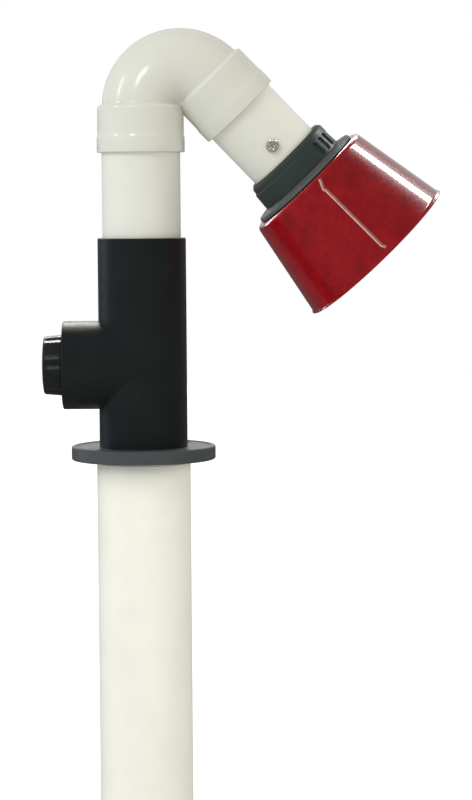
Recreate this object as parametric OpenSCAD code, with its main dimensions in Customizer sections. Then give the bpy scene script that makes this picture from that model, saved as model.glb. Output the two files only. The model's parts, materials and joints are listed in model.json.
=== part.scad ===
// Fume extraction arm for a bench. A black valve body with a butterfly damper
// stands on a round bench flange, and a white pipe turns in its top socket. The
// pipe bends over and carries a red hood, which a lock ring holds on.
// All lengths are in millimetres. The origin is the centre of the flange's
// underside, where it meets the bench. +Z is up, +X is the side on which the
// hood hangs, and -X is the side of the damper's knob.

/* [Pipes] */
// Outside diameter of the riser and the arm pipe
pipe_od = 75; // [63:1:90]
// Wall of the riser and the arm pipe
pipe_wall = 3.6; // [2.6:0.1:4.6]
// Wall of the duct pipe below the bench
duct_wall = 3.5; // [2.6:0.1:5]
// Length of the duct pipe below the bench face
duct_drop = 420; // [150:10:900]
// Bevel on the ends of the pipes
pipe_bevel = 0.8; // [0.2:0.1:1.2]

/* [Arm layout] */
// Riser that shows between the valve body and the bend
riser_show = 81.5; // [30:0.5:400]
// Riser that sits in the valve body's socket
riser_insert = 60; // [40:1:75]
// Arm pipe that shows between the bend and the lock ring
arm_show = 60; // [40:1:300]
// Degrees that the arm is turned round the riser at rest
arm_yaw = 5; // [-180:1:180]

/* [Bench flange] */
// How far the flange reaches out past the duct pipe
flange_land = 24.2; // [20:0.2:45]
// Thickness of the flange
flange_h = 12; // [10:0.5:20]
// Thickness of the web that lies on top of the duct pipe
flange_web = 5; // [3:0.5:7]
// Width of the raised rim on the flange's top
flange_rim_w = 4.4; // [2:0.2:6]
// Height of the raised rim
flange_rim_h = 0.8; // [0.3:0.1:1.5]
// Bevel on the flange's edges
flange_bevel = 0.9; // [0.3:0.1:1.5]
// Distance of the bench screw holes from the flange's edge
bench_hole_inset = 13.2; // [12:0.2:15]
// Diameter of the bench screw holes
bench_hole_d = 5.2; // [3:0.1:6]
// Diameter of the countersinks over the holes
bench_sink_d = 10.4; // [7:0.2:11]
// Number of bench screw holes
bench_holes = 4; // [3:1:6]
// Width of the sealing cord under the flange
gasket_w = 3; // [2:0.2:4]
// Depth of the sealing cord's groove
gasket_t = 2; // [1:0.2:3]
// Distance of the groove from the flange's edge
gasket_inset = 2.6; // [2:0.2:4]

/* [Valve body] */
// Height of the valve body above the flange
valve_h = 200; // [185:1:300]
// Wall of the valve body round the riser
socket_wall = 4.5; // [3.6:0.1:7]
// How far the spigot steps in below the body
spigot_step = 0.9; // [0.6:0.1:2]
// Depth of the spigot in the duct pipe, below the bench face
spigot_depth = 45; // [30:1:80]
// Height of the damper's axis above the flange
damper_h = 78.5; // [66:0.5:90]
// How far the side housing stands out from the body
side_show = 34; // [30:1:60]
// Wall of the side housing
side_wall = 8; // [5:0.5:10]
// Wall between the air way and the side housing's chamber
chamber_wall = 4.5; // [3.5:0.1:6]
// Skin left behind the far bush
far_skin = 2.4; // [1.5:0.1:3]
// Thickness of the ring that the riser turns on
thrust_t = 2; // [1:0.2:4]
// Bevel on the valve body's open ends
body_bevel = 0.9; // [0.3:0.1:1.5]

/* [Housing cover] */
// Thickness of the side housing's cover
cover_t = 7; // [5:0.5:9]
// Width of the ledge that the cover sits on
cover_ledge = 2; // [1:0.2:3]
// Outside diameter of the cover's boss
cover_boss_d = 22; // [19:0.5:26]
// Length of the cover's boss
cover_boss_l = 8; // [4:0.5:10]
// Thickness of the snap ring in front of the cover
snap_t = 1.2; // [0.8:0.1:2]
// Depth of the snap ring's groove
snap_groove = 1.3; // [0.8:0.1:2]
// Width of the snap ring
snap_w = 3.2; // [2.2:0.2:4]
// Housing that stands past the snap ring
snap_inset = 1.2; // [0.8:0.1:3]

/* [Damper] */
// Diameter of the damper's shaft
shaft_d = 8; // [6:0.5:9]
// Thickness of the damper blade
blade_t = 4; // [2:0.5:6]
// Gap between the blade's edge and the air way
blade_gap = 0.9; // [0.5:0.1:3]
// Diameter of the blade's hub
hub_d = 16; // [14:0.5:20]
// Length of the blade's hub
hub_l = 50; // [38:1:56]
// Distance of the blade screws from the middle of the blade
blade_screw_at = 14; // [8:1:18]
// Wall of the shaft's bushes
bush_wall = 2.5; // [1.5:0.1:3]
// Diameter of the boss that holds the wall bush
wall_boss_d = 19; // [17:0.5:24]
// How far that boss stands into the chamber
wall_boss_l = 5.5; // [3:0.5:7]
// Thickness and reach of the wall bush's collar
bush_collar = 1.5; // [1:0.1:2]

/* [Knob] */
// Diameter of the knob next to the housing
knob_d = 58; // [48:0.5:66]
// Diameter of the knob's outer end
knob_end_d = 55.6; // [46:0.5:58]
// Length of the knob
knob_l = 18.8; // [16:0.2:30]
// Number of flutes in the knob
knob_flutes = 6; // [3:1:16]
// Radius of each flute
flute_r = 6; // [4:0.5:9]
// Depth of each flute
flute_depth = 1.4; // [0.6:0.1:2]
// Wall of the knob's skirt
knob_wall = 4; // [3:0.2:6]
// Diameter of the knob's hub
knob_hub_d = 27; // [24:0.5:32]
// Diameter of the cap in the knob's end
knob_cap_d = 18; // [12:0.5:22]
// Thickness of the cap at its edge
knob_cap_t = 1.6; // [1:0.1:2.4]
// Thickness of the friction washer behind the knob
washer_t = 1.5; // [1:0.1:2]

/* [Bend] */
// Degrees that the bend turns the pipe
bend_turn = 136; // [95:1:150]
// Radius inside the crook of the bend, at the air way
bend_crook = 4.3; // [3.4:0.1:6]
// Wall of the bend
bend_wall = 2.9; // [2:0.1:3.6]
// Length of each socket
bend_socket = 42.5; // [35:0.5:70]
// Wall of each socket
bend_socket_wall = 3.5; // [2.8:0.05:5]
// Length of the shoulder from the bend to its socket
bend_shoulder = 2; // [1:0.5:6]
// Length of the bead that holds a seal ring
bead_l = 15; // [12:0.5:20]
// How far the bead stands out
bead_h = 0.8; // [0.5:0.05:3]
// Side of the square seal ring in the bead
seal_side = 2.4; // [1.4:0.1:2.6]

/* [Pipe screws] */
// Diameter of the screws that hold the spigot
screw_d = 6; // [4:0.5:8]
// Diameter of their pan heads
screw_head_d = 12.8; // [9:0.2:16]
// Height of their pan heads
screw_head_h = 3.8; // [2.5:0.1:5]
// Distance of the screws from the lock ring
screw_back = 17; // [10:0.5:24]
// Turn of the screws round the arm pipe, in degrees
screw_turn = 276; // [0:1:359]

/* [Hood joint] */
// Wall of the hood's spigot
spigot_wall = 3; // [2:0.1:5]
// How far the joint's flanges reach out past the pipe
joint_reach = 3.5; // [3:0.1:5]
// Thickness of the spigot's flange
joint_flange_t = 4; // [2:0.2:6]
// Thickness of the joint's flat seal
joint_seal_t = 2; // [1:0.1:3]
// Bore of the hood plate
plate_bore_d = 66; // [60:1:68]
// Height of the bayonet lugs
lug_h = 1.5; // [1:0.1:2]
// Thickness of the bayonet lugs
lug_t = 2.4; // [1.5:0.1:2.8]
// Degrees that each bayonet lug spans
lug_span = 34; // [20:1:50]
// Diameter of the skirt over the hood
skirt_d = 117.4; // [100:1:130]
// Rise of the skirt's slope
skirt_rise = 2.2; // [1:0.1:6]
// Thickness of the skirt's rim
skirt_rim = 3; // [2:0.1:5]
// Thickness of the rubber between the plate and the hood
hood_gasket_t = 1; // [0.5:0.1:2]

/* [Lock ring] */
// Length of the lock ring
lock_l = 25; // [23:0.5:32]
// Length of the lock ring's top band, over its inner lip
lock_band_l = 9; // [6:0.5:10]
// Wall of the top band outside the pipe
lock_band_wall = 6; // [5:0.1:8]
// Bevel on the top band
lock_bevel = 3.1; // [1:0.1:4]
// How far the grip part stands out past the top band
lock_step = 1.9; // [1:0.1:3]
// How much wider the grip part is at its foot
lock_flare = 1.1; // [0:0.1:2]
// How far the thumb pad stands out from the top band
thumb_out = 2.6; // [1:0.1:3]
// Width of the grip slots
grip_slot_w = 3.8; // [2:0.1:5]
// Depth of the grip slots
grip_slot_depth = 2; // [0.8:0.1:2.2]
// Degrees from one grip slot to the next
grip_pitch = 13.2; // [8:0.2:16]
// Degrees from the thumb pad's middle to the middle slot
grip_turn = 42.4; // [30:0.2:60]

/* [Hood] */
// Diameter at the top of the hood, before its shoulder is rounded
hood_top_d = 130.4; // [120:0.5:160]
// Diameter at the mouth of the hood
hood_mouth_d = 167; // [150:0.5:240]
// Length of the hood
hood_l = 98; // [70:1:160]
// Wall of the hood
hood_wall = 2.6; // [1.5:0.1:4]
// Radius of the hood's shoulder
hood_round = 5.5; // [4:0.1:12]
// Radius of the rolled lip
lip_r = 2.9; // [2.2:0.1:4]
// Radius of the stiffening rib
rib_r = 1.5; // [1:0.1:3]
// How far the rib stands out
rib_h = 0.8; // [0.4:0.1:1]
// Turn of the front rib round the hood, in degrees
rib_turn = 266.5; // [0:0.5:359]
// Thickness of the backing ring inside the hood
backing_t = 2.5; // [1.5:0.1:4]
// Width of the backing ring
backing_w = 12; // [10:0.5:20]
// Number of screws that hold the hood
hood_screws_n = 4; // [3:1:8]
// Depth of the hood screws in the plate
hood_screw_grip = 8; // [4:0.5:10]

/* [Fits] */
// Gap between parts that are pushed together
slip = 0.1; // [0.05:0.01:0.15]
// Gap round the riser in its socket
socket_gap = 0.3; // [0.2:0.05:0.5]
// Running gap of the shaft in its bushes
run_gap = 0.05; // [0.02:0.01:0.08]
// Gap between parts that turn past each other
turn_gap = 0.3; // [0.2:0.05:0.5]
// Thickness of the round seal rings
cord_d = 2.4; // [1.8:0.1:2.8]

/* [Hidden] */
$fn = 96;

// Overrun of every cut past the face it opens
over = 1;
// Number of steps in a rounded corner
arc_steps = 8;

// Radii of the pipes and of the valve body
pipe_r = pipe_od / 2;
bore_r = pipe_r - pipe_wall;
body_r = pipe_r + socket_gap + socket_wall;
body_spigot_r = body_r - spigot_step;
duct_bore_r = body_spigot_r + slip;
duct_r = duct_bore_r + duct_wall;
flange_r = duct_r + flange_land;

// Neck on the duct pipe's top: how much slimmer it is, and how far it shows under the flange
neck_step = 0.6;
neck_under = 3;
neck_r = duct_r - neck_step;

// Heights of the upright pieces
valve_top = flange_h + valve_h;
riser_foot = valve_top - riser_insert;
thrust_seat = riser_foot - thrust_t;
bend_mouth = valve_top + riser_show;
bend_start = bend_mouth + bend_socket;
damper_z = flange_h + damper_h;

// Heights of the two seal rings that grip the riser, and of the one in the duct pipe
riser_seal_gap = 12;
riser_seal_z = [valve_top - riser_seal_gap, valve_top - 2 * riser_seal_gap];
duct_seal_z = -spigot_depth / 2;

// The bend's middle line, and how far the pipes stay out of its crook
bend_r = bore_r + bend_crook;
bend_tube_r = bore_r + bend_wall;
socket_bore_r = pipe_r + slip;
socket_r = socket_bore_r + bend_socket_wall;
bead_r = socket_r + bead_h;
bead_slope = bead_h;
crook_wall = 3;
bend_ledge = 0.3;
shoulder_foot_r = bend_r + bend_ledge;
crook_skin = 1;
crook_web = bend_crook - crook_skin;
crook_web_share = 0.9;
crook_web_l = 2 * sqrt(pow(bend_tube_r, 2) - pow(bend_r - crook_web_share * crook_web, 2));
stop_least = 3;
stop_share = tan(bend_turn / 2);
pipe_stop = max(stop_least, (socket_bore_r + crook_wall / 2 - bend_r) * stop_share);
bend_end = [bend_r * (1 - cos(bend_turn)), 0, bend_start + bend_r * sin(bend_turn)];
seal_from_mouth = 5;
seal_room = seal_side + 2 * slip;

// Places along the arm, from the end of the bend
lock_at = bend_socket + arm_show;
arm_pipe_end = lock_at + lock_band_l;
screw_at = lock_at - screw_back;
joint_flange_at = arm_pipe_end + turn_gap;
joint_seal_at = joint_flange_at + joint_flange_t;
plate_top = joint_seal_at + joint_seal_t;
plate_foot = lock_at + lock_l + turn_gap;
skirt_edge = plate_foot + skirt_rise;
plate_under = skirt_edge + skirt_rim;
hood_at = plate_under + hood_gasket_t;
backing_at = hood_at + hood_wall;
screw_head_at = backing_at + backing_t;

// The hood's spigot
head_spigot_r = bore_r - slip;
head_bore_r = head_spigot_r - spigot_wall;
spigot_tail = 6;
spigot_top = screw_at - screw_d / 2 - spigot_tail;
screw_groove_depth = 1.5;
screw_groove_w = screw_d + 2 * turn_gap;
screw_tip_r = head_spigot_r - screw_groove_depth + turn_gap;
spigot_seal_at = (screw_at + arm_pipe_end) / 2;

// The hood joint, from the pipe outwards
lock_lip_gap = 0.4;
lock_lip_r = pipe_r + lock_lip_gap;
joint_r = pipe_r + joint_reach;
lock_bore_r = joint_r + lock_lip_gap;
lug_r = joint_r + lug_h;
lug_room_r = lug_r + turn_gap;
plate_bore_r = plate_bore_d / 2;
skirt_r = skirt_d / 2;
skirt_flare = 1;
ring_lug_foot = lock_at + lock_l - lug_h;
ring_lug_at = ring_lug_foot - lug_t;
plate_lug_at = ring_lug_at - turn_gap - lug_t;
lug_count = 3;

// The lock ring's outside, from its top edge
band_r = pipe_r + lock_band_wall;
band_swell = 0.5;
grip_r = band_r + lock_step;
grip_foot_r = grip_r + lock_flare;
grip_rise = 1.4;
band_end = lock_band_l - grip_rise;
thumb_edge = band_r + thumb_out;
slot_margin = 1.2;
slot_l = lock_l - lock_band_l - 2 * slot_margin;
grip_slots = 3;

// The hood's outline
hood_top_r = hood_top_d / 2;
hood_mouth_r = hood_mouth_d / 2;
hood_flare = atan((hood_mouth_r - hood_top_r) / hood_l);
shoulder_r = hood_top_r + hood_round * tan(hood_flare) - hood_round / cos(hood_flare);
hood_open_r = plate_bore_r + over / 2;
lip_at = hood_l - lip_r;
lip_line_r = hood_top_r + lip_at * tan(hood_flare) - lip_r / 2;
rib_top = hood_round;
rib_foot = hood_l - 3 * lip_r;
backing_r = hood_open_r + backing_w;
hood_screw_r = (hood_open_r + joint_r) / 2;
small_screw_d = 4;
small_head_d = 7.2;
small_head_h = 2.4;

// Bench flange
flange_seat_h = flange_h - flange_web;
bench_hole_r = flange_r - bench_hole_inset;
gasket_r = flange_r - gasket_inset - gasket_w / 2;
sink_h = (bench_sink_d - bench_hole_d) / 2;

// Side housing, cover and knob, measured out from the riser's axis
side_end = body_r + side_show;
side_bore_r = body_r - side_wall;
chamber_r = side_bore_r - cover_ledge;
wall_r = bore_r + chamber_wall;
shaft_r = shaft_d / 2;
bush_bore_r = shaft_r + run_gap;
bush_r = bush_bore_r + bush_wall;
bush_hole_r = bush_r + slip;
snap_face = side_end - snap_inset;
cover_face = snap_face - snap_t - slip;
cover_back = cover_face - cover_t;
wall_boss_end = wall_r + wall_boss_l;
bush_skin = 0.5;
wall_bush_at = bore_r + bush_skin;
far_hole_end = body_r - far_skin;
shaft_seal_t = 2.4;
shaft_seal_in = 0.6;
cover_bush_end = cover_face - shaft_seal_in - shaft_seal_t - slip;
knob_back = side_end + 2 * turn_gap;
knob_end = knob_back + knob_l;
knob_hub_at = cover_face + washer_t + run_gap;
knob_top_t = 7;
cap_seat = knob_end - knob_cap_t - small_head_h - 2 * turn_gap;
knob_floor = cap_seat - knob_top_t + small_head_h;
shaft_end = cap_seat - 2 * slip;
flat_share = 0.75;
flat_l = shaft_end - knob_hub_at;
blade_r = bore_r - blade_gap;
retainer_t = 1;
retainer_w = 3;
retainer_depth = 0.6;
retainer_r = shaft_r + retainer_w;
retainer_at = wall_boss_end + bush_collar + turn_gap / 2;
washer_inner_r = bush_r + retainer_t;
washer_outer_r = knob_hub_d / 2 - retainer_t / 2;
knob_screw_grip = 9;
cap_dome = 0.6;

// Cross recess of the pan head screws
cross_share = 0.55;
cross_depth_share = 0.5;
cross_w_share = 0.13;
dome_share = 1.15;

// Colours
pvc_white = [0.87, 0.87, 0.82];
duct_white = [0.94, 0.94, 0.88];
body_black = [0.12, 0.14, 0.15];
flange_grey = [0.30, 0.33, 0.33];
lock_grey = [0.22, 0.26, 0.25];
hood_red = [0.53, 0.08, 0.10];
steel_bright = [0.75, 0.75, 0.77];
rubber_black = [0.06, 0.06, 0.06];
bush_cream = [0.85, 0.80, 0.66];

// Points of a round stretch with centre (x, y), from angle a0 to angle a1
function arc(x, y, r, a0, a1) = [
    for (i = [0 : arc_steps])
        let (a = a0 + (a1 - a0) * i / arc_steps)
            [x + r * cos(a), y + r * sin(a)]
];

// A place on the damper's axis, s out from the riser's axis to the knob's side
module on_damper(s = 0) {
    translate([0, 0, damper_z])
        rotate([0, -90, 0])
            translate([0, 0, s])
                children();
}

// The arm's own upright plane, turned round the riser
module in_arm_plane() {
    rotate([0, 0, arm_yaw])
        children();
}

// A place on the arm's axis, u along it from the end of the bend
module on_arm(u = 0) {
    in_arm_plane()
        translate(bend_end)
            rotate([0, bend_turn, 0])
                translate([0, 0, u])
                    children();
}

// A round ring with flat ends
module ring(outer, inner, h) {
    difference() {
        cylinder(r = outer, h = h);
        translate([0, 0, -over])
            cylinder(r = inner, h = h + 2 * over);
    }
}

// A pipe with both outside ends bevelled
module pipe(outer, inner, h) {
    rotate_extrude()
        polygon([
            [inner, 0], [outer - pipe_bevel, 0], [outer, pipe_bevel],
            [outer, h - pipe_bevel], [outer - pipe_bevel, h], [inner, h]
        ]);
}

// A round seal ring, lying in the plane z = 0, whose cord has the middle radius
module cord_ring(middle) {
    rotate_extrude()
        translate([middle, 0])
            circle(d = cord_d);
}

// A screw with a domed pan head on z = 0 and its shank pointing down
module pan_screw(d, head_d, head_h, l) {
    cross_l = head_d * cross_share;
    cross_w = head_d * cross_w_share;
    dome_r = head_d * dome_share;
    difference() {
        union() {
            intersection() {
                cylinder(d = head_d, h = head_h);
                translate([0, 0, head_h - dome_r])
                    sphere(r = dome_r);
            }
            translate([0, 0, -l])
                cylinder(d = d, h = l + head_h / 2);
        }
        for (a = [0, 90])
            rotate([0, 0, a])
                translate([-cross_l / 2, -cross_w / 2, head_h * cross_depth_share])
                    cube([cross_l, cross_w, head_h]);
    }
}

// One bevelled sector of a bayonet, from angle -span/2 to span/2
module lug_sector(outer, inner, h, span) {
    rotate([0, 0, -span / 2])
        rotate_extrude(angle = span)
            translate([inner, 0])
                square([outer - inner, h]);
}

// Duct pipe: goes down through the bench, its top end seated in the flange
module duct_pipe() {
    neck_at = -neck_under;
    neck_end = flange_seat_h - slip;
    color(duct_white)
        rotate_extrude()
            polygon([
                [duct_bore_r, -duct_drop],
                [duct_r - pipe_bevel, -duct_drop],
                [duct_r, pipe_bevel - duct_drop],
                [duct_r, neck_at - neck_step],
                [neck_r, neck_at],
                [neck_r, neck_end - pipe_bevel],
                [neck_r - pipe_bevel, neck_end],
                [duct_bore_r, neck_end]
            ]);
}

// Round flange that lies on the bench, screwed down through its holes
module bench_flange() {
    color(flange_grey)
        difference() {
            rotate_extrude()
                polygon([
                    [neck_r + slip, 0],
                    [flange_r - flange_bevel, 0],
                    [flange_r, flange_bevel],
                    [flange_r, flange_h + flange_rim_h - flange_bevel],
                    [flange_r - flange_bevel, flange_h + flange_rim_h],
                    [flange_r - flange_rim_w, flange_h + flange_rim_h],
                    [flange_r - flange_rim_w - flange_rim_h, flange_h],
                    [duct_bore_r, flange_h],
                    [duct_bore_r, flange_seat_h],
                    [neck_r + slip, flange_seat_h]
                ]);
            for (i = [0 : bench_holes - 1])
                rotate([0, 0, (i + 1 / 2) * 360 / bench_holes])
                    translate([bench_hole_r, 0, 0])
                        bench_hole();
            translate([0, 0, -over])
                ring(gasket_r + gasket_w / 2 + slip, gasket_r - gasket_w / 2 - slip, over + gasket_t);
        }
}

// One countersunk screw hole through the flange
module bench_hole() {
    translate([0, 0, -over])
        cylinder(d = bench_hole_d, h = flange_h + 2 * over);
    translate([0, 0, flange_h - sink_h])
        cylinder(d1 = bench_hole_d, d2 = bench_sink_d, h = sink_h);
    translate([0, 0, flange_h])
        cylinder(d = bench_sink_d, h = flange_rim_h + over);
}

// Soft sealing cord in the flange's underside
module bench_gasket() {
    color(rubber_black)
        ring(gasket_r + gasket_w / 2, gasket_r - gasket_w / 2, gasket_t - slip);
}

// Groove for a round seal ring in an outside wall of radius r
module outer_groove(r, at) {
    translate([0, 0, at - cord_d / 2 - slip])
        ring(r + over, r - cord_d, cord_d + 2 * slip);
}

// Groove for a round seal ring in a bore of radius r
module inner_groove(r, at) {
    translate([0, 0, at - cord_d / 2 - slip])
        cylinder(r = r + cord_d - socket_gap + slip, h = cord_d + 2 * slip);
}

// The chamber in the side housing, which leaves the air way's wall whole
module chamber() {
    difference() {
        on_damper()
            cylinder(r = chamber_r, h = side_end);
        cylinder(r = wall_r, h = valve_top);
        on_damper()
            cylinder(d = wall_boss_d, h = wall_boss_end);
    }
}

// Valve body: a black moulding with the riser's socket, the damper's air way,
// the side housing and the spigot that goes down into the duct pipe
module valve_body() {
    color(body_black)
        difference() {
            union() {
                rotate_extrude()
                    polygon([
                        [0, -spigot_depth],
                        [body_spigot_r - body_bevel, -spigot_depth],
                        [body_spigot_r, body_bevel - spigot_depth],
                        [body_spigot_r, flange_h],
                        [body_r, flange_h],
                        [body_r, valve_top - body_bevel],
                        [body_r - body_bevel, valve_top],
                        [0, valve_top]
                    ]);
                on_damper()
                    cylinder(r = body_r, h = side_end - body_bevel);
                on_damper(side_end - body_bevel)
                    cylinder(r1 = body_r, r2 = body_r - body_bevel, h = body_bevel);
            }
            translate([0, 0, -spigot_depth - over])
                cylinder(r = bore_r, h = spigot_depth + valve_top);
            translate([0, 0, thrust_seat])
                cylinder(r = pipe_r + socket_gap, h = valve_top);
            for (z = riser_seal_z)
                inner_groove(pipe_r + socket_gap, z);
            outer_groove(body_spigot_r, duct_seal_z);
            chamber();
            on_damper(cover_back)
                cylinder(r = side_bore_r, h = side_end);
            on_damper(cover_face)
                cylinder(r = side_bore_r + snap_groove, h = snap_t + 2 * slip);
            on_damper()
                cylinder(r = bush_hole_r, h = side_end);
            on_damper(-far_hole_end)
                cylinder(r = bush_hole_r, h = far_hole_end);
        }
}

// Seal ring round the valve body's spigot, in the duct pipe
module duct_seal_ring() {
    color(rubber_black)
        translate([0, 0, duct_seal_z])
            cord_ring(body_spigot_r - cord_d / 2 + slip / 2);
}

// Two seal rings that grip the riser and let it turn
module riser_seal_rings() {
    color(rubber_black)
        for (z = riser_seal_z)
            translate([0, 0, z])
                cord_ring(pipe_r + run_gap + cord_d / 2);
}

// Slippery ring that carries the riser's foot
module riser_thrust_ring() {
    color(bush_cream)
        translate([0, 0, thrust_seat])
            ring(pipe_r + socket_gap - slip, bore_r, thrust_t);
}

// Cover that closes the side housing and guides the shaft
module housing_cover() {
    color(body_black)
        on_damper()
            difference() {
                union() {
                    translate([0, 0, cover_back])
                        cylinder(r = side_bore_r - slip, h = cover_t);
                    translate([0, 0, cover_back - cover_boss_l])
                        cylinder(d = cover_boss_d, h = cover_boss_l + over);
                }
                cylinder(r = bush_hole_r, h = side_end);
                outer_groove(side_bore_r - slip, cover_back + cover_t / 2);
            }
}

// Seal ring between the cover and the side housing
module cover_seal_ring() {
    color(rubber_black)
        on_damper(cover_back + cover_t / 2)
            cord_ring(side_bore_r - cord_d / 2 - slip / 2);
}

// Open snap ring that keeps the cover in
module cover_snap_ring() {
    gap_w = 2 * snap_w;
    color(steel_bright)
        on_damper(cover_face + slip)
            difference() {
                ring(side_bore_r + snap_groove - slip, side_bore_r + snap_groove - slip - snap_w, snap_t);
                translate([-side_bore_r - 2 * snap_w, -gap_w / 2, -over])
                    cube([side_bore_r, gap_w, snap_t + 2 * over]);
            }
}

// Plain bush in the cover
module cover_bush() {
    bush_l = cover_bush_end - cover_back + cover_boss_l;
    color(bush_cream)
        on_damper(cover_bush_end - bush_l)
            ring(bush_r, bush_bore_r, bush_l);
}

// Collared bush in the wall of the air way, on the chamber's side
module wall_bush() {
    color(bush_cream)
        on_damper() {
            translate([0, 0, wall_bush_at])
                ring(bush_r, bush_bore_r, wall_boss_end - wall_bush_at + bush_collar);
            translate([0, 0, wall_boss_end])
                ring(bush_r + bush_collar, bush_bore_r, bush_collar);
        }
}

// Blind bush in the far wall of the air way
module far_bush() {
    color(bush_cream)
        on_damper(slip - far_hole_end)
            ring(bush_r, bush_bore_r, far_hole_end - wall_bush_at - slip);
}

// Seal ring round the shaft, in front of the cover's bush
module shaft_seal_ring() {
    color(rubber_black)
        on_damper(cover_bush_end + slip)
            ring(bush_r, bush_bore_r, shaft_seal_t);
}

// Fibre washer that holds the knob where it is set
module friction_washer() {
    color(bush_cream)
        on_damper(cover_face)
            ring(washer_outer_r, washer_inner_r, washer_t);
}

// Steel shaft with cross holes for the blade, a groove and a flat for the knob
module damper_shaft() {
    shaft_l = shaft_end + far_hole_end - turn_gap - slip;
    color(steel_bright)
        on_damper()
            difference() {
                translate([0, 0, shaft_end - shaft_l])
                    cylinder(r = shaft_r, h = shaft_l);
                for (s = [-blade_screw_at, blade_screw_at])
                    translate([0, 0, s])
                        rotate([90, 0, 0])
                            cylinder(d = small_screw_d + slip, h = shaft_d * 2, center = true);
                translate([0, 0, retainer_at - slip])
                    ring(shaft_r + over, shaft_r - retainer_depth, retainer_t + 2 * slip);
                translate([shaft_r * flat_share, -shaft_d, shaft_end - flat_l])
                    cube([shaft_d, 2 * shaft_d, flat_l + over]);
                translate([0, 0, shaft_end - knob_screw_grip - slip])
                    cylinder(d = small_screw_d + slip, h = knob_screw_grip + over);
            }
}

// Round butterfly blade with its hub, standing in line with the air at rest
module damper_blade() {
    hub_top = hub_d / 2 - turn_gap;
    color(lock_grey)
        on_damper()
            difference() {
                union() {
                    rotate([90, 0, 0])
                        cylinder(r = blade_r, h = blade_t, center = true);
                    translate([0, 0, -hub_l / 2])
                        cylinder(d = hub_d, h = hub_l);
                }
                translate([0, 0, -bore_r])
                    cylinder(r = shaft_r + slip / 2, h = 2 * bore_r);
                for (s = [-blade_screw_at, blade_screw_at])
                    translate([0, 0, s])
                        rotate([90, 0, 0]) {
                            translate([0, 0, -hub_top])
                                cylinder(d = small_screw_d + slip, h = 2 * hub_d);
                            translate([0, 0, hub_top])
                                cylinder(d = small_head_d + 2 * turn_gap, h = hub_d);
                        }
            }
}

// Two screws that clamp the blade to its shaft
module blade_screws() {
    hub_top = hub_d / 2 - turn_gap;
    color(steel_bright)
        on_damper()
            for (s = [-blade_screw_at, blade_screw_at])
                translate([0, -hub_top, s])
                    rotate([90, 0, 0])
                        pan_screw(small_screw_d, small_head_d, small_head_h, 2 * hub_top - retainer_t);
}

// Ring in the shaft's groove, which keeps the shaft in
module shaft_retaining_ring() {
    color(steel_bright)
        on_damper(retainer_at)
            ring(retainer_r, shaft_r - retainer_depth + slip, retainer_t);
}

// One flute, a round bar laid along the knob's slope
module flute(lean) {
    translate([knob_d / 2 + flute_r - flute_depth, 0, 0])
        rotate([0, -lean, 0])
            translate([0, 0, -knob_l / 2])
                cylinder(r = flute_r, h = 2 * knob_l);
}

// Fluted knob that turns the damper
module damper_knob() {
    edge = 1;
    end_edge = 2.2;
    lean = atan((knob_d - knob_end_d) / 2 / knob_l);
    color(body_black)
        on_damper()
            difference() {
                union() {
                    translate([0, 0, knob_back])
                        rotate_extrude()
                            polygon([
                                [0, 0],
                                [knob_d / 2 - edge, 0],
                                [knob_d / 2, edge],
                                [knob_end_d / 2, knob_l - end_edge],
                                [knob_end_d / 2 - end_edge / 3, knob_l - end_edge / 3],
                                [knob_end_d / 2 - end_edge, knob_l],
                                [0, knob_l]
                            ]);
                    translate([0, 0, knob_hub_at])
                        cylinder(d = knob_hub_d, h = knob_back + over - knob_hub_at);
                }
                translate([0, 0, knob_back - over])
                    ring(knob_end_d / 2 - knob_wall, knob_hub_d / 2, knob_floor + over - knob_back);
                translate([0, 0, knob_back])
                    for (i = [0 : knob_flutes - 1])
                        rotate([0, 0, -90 + i * 360 / knob_flutes])
                            flute(lean);
                knob_bore();
                translate([0, 0, cap_seat])
                    cylinder(d = small_head_d + 4 * turn_gap, h = knob_l);
                translate([0, 0, knob_end - knob_cap_t])
                    cylinder(d = knob_cap_d + 2 * slip, h = knob_cap_t + over);
            }
}

// The flatted hole in the knob, and the screw's way through its end wall
module knob_bore() {
    difference() {
        translate([0, 0, knob_hub_at - over])
            cylinder(r = shaft_r + slip, h = shaft_end + slip + over - knob_hub_at);
        translate([shaft_r * flat_share + slip, -shaft_d, knob_hub_at - 2 * over])
            cube([shaft_d, 2 * shaft_d, knob_l + side_show]);
    }
    translate([0, 0, knob_hub_at])
        cylinder(d = small_screw_d + 2 * slip, h = knob_l);
}

// Screw that holds the knob on the shaft, under the cap
module knob_screw() {
    color(steel_bright)
        on_damper(cap_seat)
            pan_screw(small_screw_d, small_head_d, small_head_h, knob_screw_grip);
}

// Low domed cap in the knob's end
module knob_cap() {
    color(body_black)
        on_damper(knob_end - knob_cap_t + slip)
            rotate_extrude()
                polygon([
                    [0, 0],
                    [knob_cap_d / 2, 0],
                    [knob_cap_d / 2, knob_cap_t - slip],
                    [knob_cap_d / 4, knob_cap_t - slip + cap_dome * flat_share],
                    [0, knob_cap_t - slip + cap_dome]
                ]);
}

// Upright white pipe that turns in the valve body
module riser_pipe() {
    color(pvc_white)
        in_arm_plane()
            translate([0, 0, riser_foot])
                pipe(pipe_r, bore_r, bend_start - pipe_stop - riser_foot);
}

// Outside of one socket with its shoulder and bead, from the bend to the mouth
module socket_outside() {
    bead_at = bend_socket - bead_l;
    rotate([0, 0, 180])
        rotate_extrude()
            polygon([
                [0, 0],
                [shoulder_foot_r, 0],
                [socket_r, bend_shoulder],
                [socket_r, bead_at],
                [bead_r, bead_at + bead_slope],
                [bead_r, bend_socket - pipe_bevel],
                [bead_r - pipe_bevel, bend_socket],
                [0, bend_socket]
            ]);
}

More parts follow.
